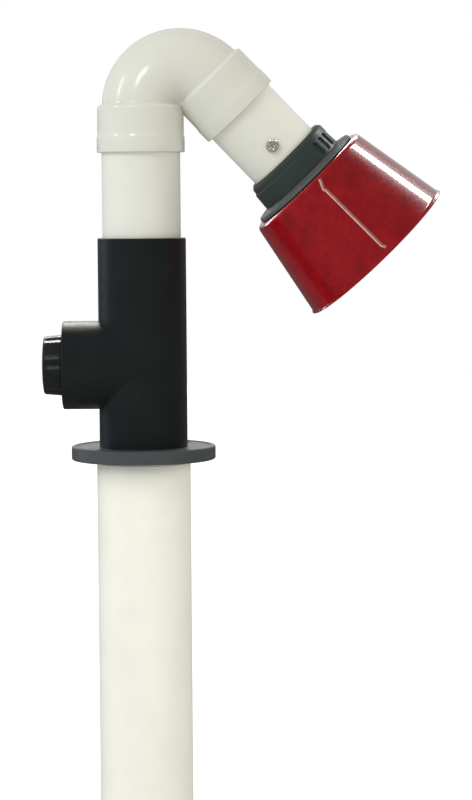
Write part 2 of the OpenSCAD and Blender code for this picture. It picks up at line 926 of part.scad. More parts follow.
// Inside of one socket: the air way, the pipe's seat and the seal ring's groove
module socket_inside() {
    rotate([0, 0, 180]) {
        translate([0, 0, -over])
            cylinder(r = bore_r + bend_ledge, h = bend_socket);
        translate([0, 0, pipe_stop])
            cylinder(r = socket_bore_r, h = bend_socket);
        translate([0, 0, bend_socket - seal_from_mouth - seal_room])
            cylinder(r = socket_bore_r + seal_side, h = seal_room);
    }
}

// The side of the mitre in the crook on which a socket lies
module mitre_side() {
    reach = 2 * (bend_r + bend_socket + bead_r);
    translate([bend_r, 0, 0])
        rotate([0, 90 - bend_turn / 2, 0])
            translate([-reach, -reach / 2, -reach / 2])
                cube(reach);
}

// One hollow socket, cut off where it meets the other one in the crook
module socket() {
    difference() {
        intersection() {
            socket_outside();
            mitre_side();
        }
        socket_inside();
    }
}

// The hollow turned part, with a web that fills its crook up to the turning axis
module turned_part() {
    translate([bend_r, 0, bend_start])
        rotate([90, 0, 180])
            rotate_extrude(angle = bend_turn)
                difference() {
                    union() {
                        translate([bend_r, 0])
                            circle(r = bend_tube_r);
                        translate([0, -crook_web_l / 2])
                            square([crook_web, crook_web_l]);
                    }
                    translate([bend_r, 0])
                        circle(r = bore_r);
                }
}

// Both ends of the bend: the one over the riser and the one on the arm pipe
module bend_mouths() {
    translate([0, 0, bend_start])
        rotate([180, 0, 0])
            children();
    translate(bend_end)
        rotate([0, bend_turn, 0])
            children();
}

// White gooseneck bend with a socket at each end
module gooseneck_bend() {
    color(pvc_white)
        in_arm_plane() {
            turned_part();
            bend_mouths()
                socket();
        }
}

// Rubber seal rings in the beads of the bend's sockets
module bend_seal_rings() {
    color(rubber_black)
        in_arm_plane()
            bend_mouths()
                translate([0, 0, bend_socket - seal_from_mouth - seal_room + slip])
                    ring(socket_bore_r + seal_side - slip, pipe_r + slip / 2, seal_side);
}

// Slanting white pipe between the bend and the hood
module arm_pipe() {
    color(pvc_white)
        on_arm()
            difference() {
                translate([0, 0, pipe_stop])
                    pipe(pipe_r, bore_r, arm_pipe_end - pipe_stop);
                for (a = [0, 180])
                    rotate([0, 0, screw_turn + a])
                        translate([0, 0, screw_at])
                            rotate([0, 90, 0])
                                cylinder(d = screw_d + slip, h = pipe_od);
            }
}

// Two pan head screws whose tips run in the spigot's groove
module pipe_screws() {
    color(steel_bright)
        on_arm(screw_at)
            for (a = [0, 180])
                rotate([0, 0, screw_turn + a])
                    translate([pipe_r, 0, 0])
                        rotate([0, 90, 0])
                            rotate([0, 0, 45])
                                pan_screw(screw_d, screw_head_d, screw_head_h, pipe_r - screw_tip_r);
}

// Spigot that carries the hood: it turns inside the arm pipe
module hood_spigot() {
    spigot_l = joint_seal_at - spigot_top;
    color(lock_grey)
        on_arm()
            difference() {
                union() {
                    translate([0, 0, spigot_top])
                        cylinder(r = head_spigot_r, h = spigot_l);
                    translate([0, 0, joint_flange_at])
                        cylinder(r = joint_r, h = joint_flange_t);
                }
                translate([0, 0, spigot_top - over])
                    cylinder(r = head_bore_r, h = spigot_l + 2 * over);
                translate([0, 0, screw_at - screw_groove_w / 2])
                    ring(bore_r + over, head_spigot_r - screw_groove_depth, screw_groove_w);
                outer_groove(head_spigot_r, spigot_seal_at);
            }
}

// Seal ring round the spigot, in the arm pipe
module spigot_seal_ring() {
    color(rubber_black)
        on_arm(spigot_seal_at)
            cord_ring(bore_r - run_gap - cord_d / 2);
}

// Flat seal between the spigot's flange and the hood plate
module joint_seal() {
    color(rubber_black)
        on_arm(joint_seal_at)
            ring(joint_r, plate_bore_r, joint_seal_t);
}

// Plate with the bayonet's neck and the low skirt over the hood
module hood_plate() {
    color(lock_grey)
        on_arm()
            difference() {
                union() {
                    rotate_extrude()
                        polygon([
                            [plate_bore_r, plate_top],
                            [joint_r, plate_top],
                            [joint_r, plate_foot],
                            [grip_foot_r, plate_foot],
                            [skirt_r - skirt_flare, skirt_edge],
                            [skirt_r, plate_under],
                            [plate_bore_r, plate_under]
                        ]);
                    for (i = [0 : lug_count - 1])
                        rotate([0, 0, i * 360 / lug_count])
                            translate([0, 0, plate_lug_at])
                                lug_sector(lug_r, joint_r - over, lug_t, lug_span);
                }
                hood_screw_places(plate_under - hood_screw_grip)
                    cylinder(d = small_screw_d + slip, h = hood_screw_grip + over);
            }
}

// Places of the screws that hold the hood, at u along the arm
module hood_screw_places(u) {
    for (i = [0 : hood_screws_n - 1])
        rotate([0, 0, (i + 1 / 2) * 360 / hood_screws_n])
            translate([hood_screw_r, 0, u])
                children();
}

// Rubber ring between the plate and the hood
module hood_gasket() {
    color(rubber_black)
        on_arm(plate_under)
            ring(skirt_r - 2 * skirt_flare, joint_r + 2 * skirt_flare, hood_gasket_t);
}

// Wall of the hood: flat top, round shoulder and flaring side
module hood_wall_shape() {
    side_in = hood_wall / cos(hood_flare);
    rotate_extrude()
        polygon(concat(
            [[hood_open_r, 0]],
            arc(shoulder_r, hood_round, hood_round, -90, -hood_flare),
            [[hood_top_r + lip_at * tan(hood_flare), lip_at]],
            [[hood_top_r - side_in + lip_at * tan(hood_flare), lip_at]],
            arc(shoulder_r, hood_round, hood_round - hood_wall, -hood_flare, -90),
            [[hood_open_r, hood_wall]]
        ));
}

// One slim rib up the side of the hood, with round ends
module hood_rib() {
    rib_l = (rib_foot - rib_top) / cos(hood_flare);
    rib_line_r = hood_top_r + rib_top * tan(hood_flare) - (rib_r - rib_h) / cos(hood_flare);
    translate([rib_line_r, 0, rib_top])
        rotate([0, hood_flare, 0]) {
            cylinder(r = rib_r, h = rib_l);
            sphere(r = rib_r);
            translate([0, 0, rib_l])
                sphere(r = rib_r);
        }
}

// Red hood with its rolled lip and its front and back ribs
module hood_shell() {
    color(hood_red)
        on_arm(hood_at)
            difference() {
                union() {
                    hood_wall_shape();
                    translate([0, 0, lip_at])
                        rotate_extrude()
                            translate([lip_line_r, 0])
                                circle(r = lip_r);
                    for (a = [0, 180])
                        rotate([0, 0, rib_turn + a])
                            hood_rib();
                }
                hood_screw_places(-over)
                    cylinder(d = small_screw_d + 2 * slip, h = hood_wall + 2 * over);
            }
}

// Ring inside the hood, under the screw heads
module hood_backing_ring() {
    color(lock_grey)
        on_arm(backing_at)
            difference() {
                ring(backing_r, hood_open_r, backing_t);
                hood_screw_places(-over)
                    cylinder(d = small_screw_d + 2 * slip, h = backing_t + 2 * over);
            }
}

// Screws from inside the hood up into the plate
module hood_screws() {
    screw_l = screw_head_at - plate_under + hood_screw_grip - slip;
    color(steel_bright)
        on_arm()
            hood_screw_places(screw_head_at)
                pan_screw(small_screw_d, small_head_d, small_head_h, screw_l);
}

// Outside of the lock ring: bevelled top band, step and grip part
module lock_outside() {
    rotate_extrude()
        polygon([
            [0, 0],
            [band_r - lock_bevel, 0],
            [band_r, lock_bevel],
            [band_r + band_swell, band_end],
            [grip_r, lock_band_l],
            [grip_foot_r, lock_l],
            [0, lock_l]
        ]);
    translate([-thumb_out, 0, 0])
        rotate_extrude()
            polygon([
                [0, 0],
                [band_r - lock_bevel, 0],
                [band_r, lock_bevel],
                [band_r, lock_band_l + grip_rise],
                [0, lock_band_l + grip_rise]
            ]);
}

// One round-ended grip slot in the lock ring, a degrees round from the thumb pad
module grip_slot(a) {
    slot_r = grip_slot_w / 2;
    rotate([0, 0, 180 + a])
        translate([grip_r - grip_slot_depth, 0, lock_band_l + slot_margin + slot_r])
            rotate([0, 90, 0]) {
                cylinder(r = slot_r, h = pipe_r);
                translate([slot_r * 2 - slot_l, 0, 0])
                    cylinder(r = slot_r, h = pipe_r);
                translate([slot_r * 2 - slot_l, -slot_r, 0])
                    cube([slot_l - slot_r * 2, grip_slot_w, pipe_r]);
            }
}

// Lock ring: a part turn locks its lugs under the plate's lugs
module lock_ring() {
    foot = ring_lug_at - lock_at;
    color(lock_grey)
        on_arm(lock_at) {
            difference() {
                lock_outside();
                translate([0, 0, -over])
                    cylinder(r = lock_lip_r, h = lock_l + 2 * over);
                translate([0, 0, lock_band_l])
                    cylinder(r = lock_bore_r, h = lock_l);
                translate([0, 0, plate_lug_at - turn_gap - lock_at])
                    cylinder(r = lug_room_r, h = lock_l);
                for (side = [-1, 1])
                    for (i = [-1 : grip_slots - 2])
                        grip_slot(side * (grip_turn + i * grip_pitch));
            }
            for (i = [0 : lug_count - 1])
                rotate([0, 0, i * 360 / lug_count])
                    translate([0, 0, foot])
                        lug_sector(lug_room_r + over, joint_r + turn_gap, lug_t, lug_span);
        }
}

duct_pipe();
bench_flange();
bench_gasket();
valve_body();
duct_seal_ring();
riser_seal_rings();
riser_thrust_ring();
housing_cover();
cover_seal_ring();
cover_snap_ring();
cover_bush();
wall_bush();
far_bush();
shaft_seal_ring();
friction_washer();
damper_shaft();
damper_blade();
blade_screws();
shaft_retaining_ring();
damper_knob();
knob_screw();
knob_cap();
riser_pipe();
gooseneck_bend();
bend_seal_rings();
arm_pipe();
pipe_screws();
hood_spigot();
spigot_seal_ring();
joint_seal();
hood_plate();
hood_gasket();
hood_shell();
hood_backing_ring();
hood_screws();
lock_ring();
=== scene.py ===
# %% [markdown]
# # A bench fume extraction arm
#
# The object draws fumes away from a bench. A red hood catches them, a white pipe that
# swivels carries them over a tight bend and down, and a black valve body with a knob
# throttles the draught. The solids of the arm are ready, in metres and with +Z up. This
# lesson gives them their finishes, and it makes again, as finer surfaces, the pieces
# whose soft edges show most: the bend, the hood, the lock ring, the knob and the two
# screws.

# %% Load the solids
import json
import math

import bmesh
import bpy
import numpy as np
from mathutils import Matrix, Vector


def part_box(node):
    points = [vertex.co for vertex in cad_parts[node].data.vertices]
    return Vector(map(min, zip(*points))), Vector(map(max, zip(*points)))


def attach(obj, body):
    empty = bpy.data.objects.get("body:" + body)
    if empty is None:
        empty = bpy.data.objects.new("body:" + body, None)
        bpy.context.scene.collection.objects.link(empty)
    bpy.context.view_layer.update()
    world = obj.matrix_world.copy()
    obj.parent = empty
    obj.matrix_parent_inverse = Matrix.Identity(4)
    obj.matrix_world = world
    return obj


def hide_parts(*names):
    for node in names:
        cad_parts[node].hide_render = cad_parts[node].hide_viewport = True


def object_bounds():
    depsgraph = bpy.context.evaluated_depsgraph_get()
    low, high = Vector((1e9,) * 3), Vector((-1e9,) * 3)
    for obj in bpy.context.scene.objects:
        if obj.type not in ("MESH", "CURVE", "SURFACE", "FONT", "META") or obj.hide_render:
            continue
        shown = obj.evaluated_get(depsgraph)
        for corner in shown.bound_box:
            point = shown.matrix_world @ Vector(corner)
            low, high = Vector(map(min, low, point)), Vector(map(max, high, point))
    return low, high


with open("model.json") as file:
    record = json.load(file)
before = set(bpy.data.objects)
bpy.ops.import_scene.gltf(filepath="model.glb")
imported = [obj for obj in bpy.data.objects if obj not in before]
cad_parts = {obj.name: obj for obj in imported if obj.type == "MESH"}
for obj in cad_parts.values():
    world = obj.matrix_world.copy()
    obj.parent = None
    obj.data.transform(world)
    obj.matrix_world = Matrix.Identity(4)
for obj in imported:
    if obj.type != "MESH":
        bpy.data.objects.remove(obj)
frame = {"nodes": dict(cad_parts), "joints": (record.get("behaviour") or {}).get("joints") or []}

cad_low, cad_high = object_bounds()
nodes = frame["nodes"]
MM = 0.001
print("solids:", len(nodes), "size:", [round(b - a, 4) for a, b in zip(cad_low, cad_high)])

# %% [markdown]
# Everything from the bend's second socket to the hood turns about one slanting line, so
# it is easiest to build in that line's own measures: `u` runs along it towards the hood,
# `DOWN` points to the inside of the bend and `SIDE` lies level. The joint that lets the
# hood turn gives the line, so nothing is copied by hand.

# %% The slanting axis of the arm
swivel = next(j for j in frame["joints"] if j["name"] == "head_swivel")
ALONG = np.array(swivel["axis"], float)
ALONG /= np.linalg.norm(ALONG)
SIDE = np.array([-ALONG[1], ALONG[0], 0.0])
SIDE /= np.linalg.norm(SIDE)
DOWN = np.cross(SIDE, ALONG)
AXIS_POINT = np.array(swivel["pos_m"], float)
UP = np.array([0.0, 0.0, 1.0])
AHEAD = np.array([SIDE[1], -SIDE[0], 0.0])


def span_along(name):
    """Lowest and highest u of a solid: its vertices' distances along the slanting axis."""
    mesh = nodes[name].data
    flat = np.empty(3 * len(mesh.vertices), np.float32)
    mesh.vertices.foreach_get("co", flat)
    u = (flat.reshape(-1, 3).astype(float) - AXIS_POINT) @ ALONG
    return u.min(), u.max()


def slant(down, side, u):
    """Points of the slanting axis's own measures, as points of the model."""
    return (AXIS_POINT + down[..., None] * DOWN + side[..., None] * SIDE
            + u[..., None] * ALONG)


TURN = math.acos(ALONG[2])
print("the pipe turns by", round(math.degrees(TURN), 1), "degrees")

# %% [markdown]
# Every surface below is a grid of points: rows along the piece, columns round it. One
# quad joins each point to its neighbours. A grid can close on itself in one direction, as
# a tube does, or in both, as the wall of a hollow bend does. The vertices are merged
# where a row shrinks to a single point, which closes the poles.

# %% From a grid of points to a mesh
MERGE_WITHIN, NO_LENGTH = 0.02 * MM, 1e-7


def surface(name, points, body, material, close_rows=False, sharp=40.0, painted_highlight=None):
    """A mesh through points[row, column]: each quad joins (i, j), (i, j+1),
    (i+1, j+1) and (i+1, j), and the last column joins the first one."""
    rows, cols = points.shape[:2]
    index = np.arange(rows * cols).reshape(rows, cols)
    if close_rows:
        index = np.vstack([index, index[:1]])
    a, d = index[:-1], index[1:]
    b, c = np.roll(a, -1, axis=1), np.roll(d, -1, axis=1)
    quads = np.stack([a, b, c, d], axis=-1).reshape(-1, 4)
    mesh = bpy.data.meshes.new(name)
    mesh.from_pydata(points.reshape(-1, 3), [], quads)
    # An optional per-point share of pale paint, a painted highlight, is stored for the finish to
    # read.
    if painted_highlight is not None:
        layer = mesh.attributes.new("painted_highlight", "FLOAT", "POINT")
        layer.data.foreach_set("value", painted_highlight.astype(np.float32).ravel())
    merge_and_turn_out(mesh)
    mesh.shade_smooth()
    mesh.set_sharp_from_angle(angle=math.radians(sharp))
    mesh.materials.append(material)
    piece = bpy.data.objects.new(name, mesh)
    bpy.context.scene.collection.objects.link(piece)
    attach(piece, body)
    print(name, "faces:", len(mesh.polygons))
    return piece


def merge_and_turn_out(mesh):
    """Merges points that coincide and turns every face outwards."""
    work = bmesh.new()
    work.from_mesh(mesh)
    bmesh.ops.remove_doubles(work, verts=work.verts, dist=MERGE_WITHIN)
    bmesh.ops.dissolve_degenerate(work, edges=work.edges, dist=NO_LENGTH)
    bmesh.ops.recalc_face_normals(work, faces=work.faces)
    work.to_mesh(mesh)
    work.free()


# %% Steps, arcs and angles
def ease(t):
    """A smooth step from 0 to 1: three t squared less two t cubed, held at both ends."""
    t = np.clip(t, 0.0, 1.0)
    return t * t * (3 - 2 * t)


def arc_points(x, y, radius, start, end, count):
    """Points of a round stretch about (x, y), from one angle to another, in degrees."""
    a = np.radians(np.linspace(start, end, count))
    return np.stack([x + radius * np.cos(a), y + radius * np.sin(a)], axis=-1)


def wrapped(angle):
    """An angle in degrees, brought to between -180 and 180."""
    return (angle + 180) % 360 - 180


def dense_angles(centres, half_width, coarse, fine):
    """Angles round a full turn, in degrees: coarse steps, and fine ones near centres."""
    angles = set(np.round(np.arange(0.0, 360.0, coarse), 4))
    for c in centres:
        near = np.arange(-half_width, half_width + fine, fine)
        angles -= {a for a in angles if abs(wrapped(a - c)) <= half_width}
        angles |= set(np.round((c + near) % 360, 4))
    return np.array(sorted(angles))


def spin_in(r, u, turn):
    """An outline's radii and places along the slanting axis, spun round that axis."""
    return slant(r * np.cos(turn), r * np.sin(turn), u + 0 * turn)


# %% [markdown]
# ## Finishes
#
# Each finish is a small graph of nodes that reads the object's own coordinates, so it
# sticks to the piece when it moves. Colour carries slow, faint clouds, roughness carries
# finer ones, and a bump adds the texture that the mould or the extruder left behind. The
# helpers below wire these three, and each material then sets its own scales.

# %% Nodes and links
WHERE_NOISE_LIES = (0.3, 0.7)


def link(tree, a, b):
    """Joins an output socket to an input socket."""
    tree.links.new(a, b)


def node_of(tree, kind, **values):
    """Adds a node and sets its plain attributes."""
    node = tree.nodes.new(kind)
    for key, value in values.items():
        setattr(node, key, value)
    return node


def set_inputs(node, **values):
    """Sets a node's unlinked inputs. An underscore in a name stands for a space."""
    for key, value in values.items():
        node.inputs[key.replace("_", " ")].default_value = value


def start_material(name):
    """A new material with its shader, and the object's coordinates to feed it."""
    material = bpy.data.materials.new(name)
    material.use_nodes = True
    tree = material.node_tree
    shader = tree.nodes["Principled BSDF"]
    coords = node_of(tree, "ShaderNodeTexCoord").outputs["Object"]
    print("finish:", name)
    return material, tree, shader, coords


def clouds(tree, coords, scale, detail, rough=0.5, stretch=(1, 1, 1)):
    """Noise of so many cells a metre, stretched along the axes."""
    mapping = node_of(tree, "ShaderNodeMapping")
    set_inputs(mapping, Scale=stretch)
    link(tree, coords, mapping.inputs["Vector"])
    noise = node_of(tree, "ShaderNodeTexNoise")
    set_inputs(noise, Scale=scale, Detail=detail, Roughness=rough)
    link(tree, mapping.outputs["Vector"], noise.inputs["Vector"])
    return noise.outputs["Fac"]


def ramp(tree, value, stops):
    """A colour ramp through (place, colour) stops."""
    node = node_of(tree, "ShaderNodeValToRGB")
    elements = node.color_ramp.elements
    while len(elements) < len(stops):
        elements.new(0.5)
    for element, (place, colour) in zip(elements, stops):
        element.position = place
        element.color = (*colour, 1.0)
    link(tree, value, node.inputs["Fac"])
    return node.outputs["Color"]


def spread(tree, value, low, high):
    """Maps a value from where noise mostly lies to a range."""
    node = node_of(tree, "ShaderNodeMapRange")
    set_inputs(node, From_Min=WHERE_NOISE_LIES[0], From_Max=WHERE_NOISE_LIES[1],
               To_Min=low, To_Max=high)
    link(tree, value, node.inputs["Value"])
    return node.outputs["Result"]


def bump(tree, shader, *layers):
    """Chains bumps of (height socket, depth in metres) into the shader."""
    last = None
    for height, depth in layers:
        node = node_of(tree, "ShaderNodeBump")
        set_inputs(node, Distance=depth, Strength=1.0)
        link(tree, height, node.inputs["Height"])
        if last is not None:
            link(tree, last, node.inputs["Normal"])
        last = node.outputs["Normal"]
    link(tree, last, shader.inputs["Normal"])


def srgb(r, g, b):
    """A screen colour of 0 to 255 as the linear light that shaders use."""
    def one(c):
        c = c / 255
        return c / 12.92 if c <= 0.04045 else ((c + 0.055) / 1.055) ** 2.4
    return one(r), one(g), one(b)


# %% A moulded or extruded plastic
def tone(colour, factor):
    """A colour made lighter or darker by a factor."""
    return tuple(min(1.0, c * factor) for c in colour)


def plastic(name, colour, vary, cloud, rough, grain=1600.0, grain_depth=0.03 * MM,
            swell=120.0, swell_depth=0.06 * MM, stretch=(1, 1, 1), specular=0.5):
    """A plastic with clouds in its colour and roughness, a grain and a soft swell."""
    material, tree, shader, coords = start_material(name)
    slow = clouds(tree, coords, cloud, detail=4.0, rough=0.55)
    low, high = WHERE_NOISE_LIES
    colours = ramp(tree, slow, [(low, tone(colour, 1 - vary)), (0.5, colour),
                                (high, tone(colour, 1 + vary))])
    link(tree, colours, shader.inputs["Base Color"])
    fine = clouds(tree, coords, cloud * 14, detail=5.0, rough=0.6, stretch=stretch)
    link(tree, spread(tree, fine, *rough), shader.inputs["Roughness"])
    bump(tree, shader, (clouds(tree, coords, swell, 2.0, stretch=stretch), swell_depth),
         (clouds(tree, coords, grain, 2.0, stretch=stretch), grain_depth))
    set_inputs(shader, Specular_IOR_Level=specular)
    return material


# %% [markdown]
# The pipes are extruded, so their faint lines run lengthwise, while the bend is moulded
# and has a smoother skin with a slight swell, like an orange's peel. The pipe below the
# bench is a waxier plastic than the pipes above it.

# %% White pipes
WHITE = srgb(229, 230, 222)
extruded = dict(vary=0.025, cloud=14.0, rough=(0.34, 0.48), grain=900.0,
                grain_depth=0.02 * MM, specular=0.25)
riser_white = plastic("extruded white pipe", WHITE, stretch=(1, 1, 0.04), **extruded)
arm_white = plastic("extruded white arm pipe", WHITE, **extruded)
# The bend's white is a shade darker than the pipes': painted shade that offsets the extra light
# its upward faces get.
bend_white = plastic("moulded white bend", srgb(222, 223, 214), vary=0.02, cloud=11.0,
                     rough=(0.13, 0.22), swell=60.0, swell_depth=0.12 * MM, specular=0.35)
# The duct's white is darker than the pipes' while its own lamps light it up again: painted shade
# that deepens the flange's shadow on it.
duct_white = plastic("waxy white duct pipe", srgb(222, 222, 213), vary=0.03, cloud=26.0,
                     rough=(0.38, 0.55), grain=700.0, grain_depth=0.04 * MM,
                     stretch=(1, 1, 0.3))

# %% [markdown]
# The valve body is a polyethylene moulding. It is nearly black, with a satin skin that
# catches a cool rim of light, so its roughness matters more than its colour. The knob is
# a harder, slightly glossier plastic. The flange and the hood's joint are greenish greys.

# %% Black and grey mouldings
valve_black = plastic("satin black polyethylene", srgb(29, 34, 35), vary=0.12, cloud=30.0,
                      rough=(0.34, 0.5), grain=1100.0, grain_depth=0.05 * MM,
                      swell=90.0, swell_depth=0.1 * MM, specular=0.32)
knob_black = plastic("black knob plastic", srgb(32, 35, 36), vary=0.1, cloud=24.0,
                     rough=(0.24, 0.36), grain=1500.0, specular=0.4)
flange_grey = plastic("grey flange plastic", srgb(76, 82, 84), vary=0.06, cloud=20.0,
                      rough=(0.26, 0.38), grain=1300.0, grain_depth=0.04 * MM)
joint_grey = plastic("green grey joint plastic", srgb(54, 65, 63), vary=0.07, cloud=28.0,
                     rough=(0.36, 0.5), grain=1500.0, grain_depth=0.04 * MM, specular=0.35)
plate_grey = plastic("dusty grey plate plastic", srgb(88, 94, 90), vary=0.08, cloud=34.0,
                     rough=(0.36, 0.5), grain=1500.0, grain_depth=0.04 * MM)
bush_cream = plastic("cream bearing plastic", srgb(224, 214, 188), vary=0.03, cloud=40.0,
                     rough=(0.3, 0.4), grain=2500.0, grain_depth=0.01 * MM)

# %% [markdown]
# The hood is cherry red and glossy. Its depth comes from a clear coat over a colour that
# wanders a little, as pigment does in a moulding. Along the rib's crest the red is
# painted pale: a painted highlight that draws the rib's bright line.


# %% Glossy red
def glossy_red():
    """Deep red under a clear coat, with slow clouds and a slightly wavy skin. The share
    of the pale colour, a painted highlight along the rib, is read per point and broken up by
    noise."""
    material, tree, shader, coords = start_material("glossy cherry red")
    slow = clouds(tree, coords, 62.0, detail=8.0, rough=0.68)
    colours = ramp(tree, slow, [(0.32, srgb(126, 2, 16)), (0.5, srgb(142, 3, 16)),
                                (0.68, srgb(153, 7, 18))])
    # The pale colour mixed in along the rib's crest is a painted highlight.
    painted_line = node_of(tree, "ShaderNodeAttribute", attribute_name="painted_highlight")
    share = node_of(tree, "ShaderNodeMath", operation="MULTIPLY")
    link(tree, painted_line.outputs["Fac"], share.inputs[0])
    broken = spread(tree, clouds(tree, coords, 240.0, detail=2.0), 0.75, 1.0)
    link(tree, broken, share.inputs[1])
    pale = node_of(tree, "ShaderNodeMix", data_type="RGBA")
    link(tree, share.outputs[0], pale.inputs["Factor"])
    link(tree, colours, pale.inputs["A"])
    set_inputs(pale, B=(*srgb(255, 226, 218), 1.0))
    link(tree, pale.outputs["Result"], shader.inputs["Base Color"])
    fine = clouds(tree, coords, 260.0, detail=4.0, rough=0.6)
    link(tree, spread(tree, fine, 0.22, 0.36), shader.inputs["Roughness"])
    bump(tree, shader, (clouds(tree, coords, 38.0, detail=2.0, rough=0.4), 0.25 * MM),
         (clouds(tree, coords, 1300.0, detail=2.0), 0.01 * MM))
    set_inputs(shader, Specular_IOR_Level=0.3, Coat_Weight=0.8, Coat_Roughness=0.06)
    return material


hood_red = glossy_red()

# %% [markdown]
# Steel shows the room rather than a colour of its own. Fine brushing blurs its
# reflections, and its plating varies a little in brightness. Rubber is the opposite: all
# its light is scattered, and dust makes it a shade greyer in places.


# %% Steel and rubber
def bright_steel():
    """Plated steel with a fine, even brushing."""
    material, tree, shader, coords = start_material("bright plated steel")
    slow = clouds(tree, coords, 160.0, detail=3.0)
    colours = ramp(tree, slow, [(0.3, (0.66, 0.64, 0.61)), (0.7, (0.93, 0.93, 0.92))])
    link(tree, colours, shader.inputs["Base Color"])
    fine = clouds(tree, coords, 2600.0, detail=2.0)
    link(tree, spread(tree, fine, 0.14, 0.24), shader.inputs["Roughness"])
    bump(tree, shader, (fine, 0.004 * MM))
    set_inputs(shader, Metallic=0.7)
    return material


def seal_rubber():
    """Dull black rubber with a trace of dust."""
    material, tree, shader, coords = start_material("black seal rubber")
    slow = clouds(tree, coords, 60.0, detail=5.0, rough=0.6)
    colours = ramp(tree, slow, [(0.35, (0.012, 0.012, 0.012)),
                                (0.7, (0.035, 0.034, 0.032))])
    link(tree, colours, shader.inputs["Base Color"])
    fine = clouds(tree, coords, 900.0, detail=3.0, rough=0.6)
    link(tree, spread(tree, fine, 0.6, 0.85), shader.inputs["Roughness"])
    bump(tree, shader, (fine, 0.04 * MM))
    set_inputs(shader, Specular_IOR_Level=0.35)
    return material


steel = bright_steel()
rubber = seal_rubber()

# %% [markdown]
# Most solids keep their own mesh and only take a finish. A table of names says which one
# each of them gets.

# %% Finishes of the solids
finishes = {
    "duct_pipe": duct_white, "bench_flange": flange_grey, "bench_gasket": rubber,
    "valve_body": valve_black, "duct_seal_ring": rubber, "riser_seal_rings": rubber,
    "riser_thrust_ring": bush_cream, "housing_cover": valve_black,
    "cover_seal_ring": rubber, "cover_snap_ring": steel, "cover_bush": bush_cream,
    "wall_bush": bush_cream, "far_bush": bush_cream, "shaft_seal_ring": rubber,
    "friction_washer": bush_cream, "damper_shaft": steel, "damper_blade": joint_grey,
    "blade_screws": steel, "shaft_retaining_ring": steel, "damper_knob": knob_black,
    "knob_screw": steel, "knob_cap": knob_black, "riser_pipe": riser_white,
    "gooseneck_bend": bend_white, "bend_seal_rings": rubber, "arm_pipe": arm_white,
    "pipe_screws": steel, "hood_spigot": joint_grey, "spigot_seal_ring": rubber,
    "joint_seal": rubber, "hood_plate": plate_grey, "hood_gasket": rubber,
    "hood_shell": hood_red, "hood_backing_ring": joint_grey, "hood_screws": steel,
    "lock_ring": joint_grey,
}
for name, material in finishes.items():
    for slot in nodes[name].material_slots:
        slot.material = material
print("solids with a finish:", len(finishes), "of", len(nodes))

# %% [markdown]
# ## The gooseneck bend
#
# The bend is a moulded fitting: a tight turn of 136 degrees with a socket at each end,
# into which the pipes are pushed. One could sweep a circle along an arc and join two
# cylinders to it, but in the crook the two sockets run into each other, and a join leaves
# a hard, jagged line there. Here each line that runs along the bend, at one place round
# it, is straight in a socket and a circular arc in the turn, and it stops at the middle
# plane, which it meets from both sides. The sockets then close the crook by themselves.

# %% The bend's measures
HALF_TURN, HALF_GAP = TURN / 2, (math.pi - TURN) / 2
BEND_R, TUBE_R, BORE_R = 38.2 * MM, 36.8 * MM, 33.9 * MM
SOCKET_R, SOCKET_L, BEAD_R, MOUTH_ROUND = 41.1 * MM, 42.5 * MM, 41.9 * MM, 0.8 * MM
SHOULDER_FROM, SHOULDER_TO = 0.4 * MM, 3.8 * MM
WEB_FROM, WEB_FADE = 22, 12
FAR_UP, NOT_ZERO = 1.0, 1e-9
BEND_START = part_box("gooseneck_bend")[0].z + SOCKET_L
MIDDLE_NORMAL = np.array([math.sin(HALF_TURN), 0.0, math.cos(HALF_TURN)])
print("the bend starts", round(BEND_START, 4), "m up")

# %% [markdown]
# Two outlines give the sockets their form. Each point is a height above the start of the
# turn and a radius, in millimetres. The outer one goes from the bead over the seal ring
# along the sleeve, which tapers a little. The inner one goes from the mouth past the
# seal ring's groove and the pipe's seat to the pipe's stop.

# %% Outlines of a socket
BEAD_AND_SLEEVE = np.array([
    (-29.2, 41.9), (-28.2, 41.83), (-27.2, 41.66), (-26.2, 41.47), (-25.2, 41.34),
    (-24.2, 41.28), (-18, 41.22), (-10, 41.15), (-2, 41.1), (0.4, 41.1)]) * MM
SEAT_AND_STOP = np.array([
    (-42.3, 37.8), (-42.0, 37.6), (-37.5, 37.6), (-37.5, 40.0), (-34.9, 40.0),
    (-34.9, 37.6), (-3.0, 37.6), (-3.0, 34.2), (-0.3, 34.2), (0.0, 33.9)]) * MM
print("outline points outside and inside:", len(BEAD_AND_SLEEVE), len(SEAT_AND_STOP))


# %% Lines that run along the bend
def bend_lines(radius, turn, height):
    """Points (ahead, side, height above the start) on the line at a radius from the
    middle line and at an angle round it, measured from the crook. With rho the line's
    distance from the turning axis, it is straight below the start, and above it an arc
    of radius rho, at the angle asin(height / rho). It stops at the middle plane."""
    rho = BEND_R - radius * np.cos(turn)
    top = np.where(rho > 0, rho * math.sin(HALF_TURN), rho / math.tan(HALF_GAP))
    height = np.minimum(height, top)
    rise = height / np.maximum(rho, NOT_ZERO)
    angle = np.arcsin(np.clip(rise, 0, math.sin(HALF_TURN)))
    ahead = np.where(height > 0, BEND_R - rho * np.cos(angle), radius * np.cos(turn))
    side = np.broadcast_to(radius * np.sin(turn), ahead.shape)
    return np.stack([ahead, side, np.broadcast_to(height, ahead.shape)], axis=-1)


def turned_rows(radius, turn, start, count):
    """The lines' points at even angles, from a height to the middle plane. A line inside
    the turning axis has no arc, so its points are sent far up, to stop at the plane."""
    rho = BEND_R - radius * np.cos(turn)
    rise = start / np.maximum(rho, NOT_ZERO)
    first = np.arcsin(np.clip(rise, 0, math.sin(HALF_TURN)))
    angle = first + np.linspace(0, 1, count + 1)[1:, None] * (HALF_TURN - first)
    return bend_lines(radius, turn, np.maximum(rho, 0) * np.sin(angle)
                      + np.where(rho > 0, 0, FAR_UP))


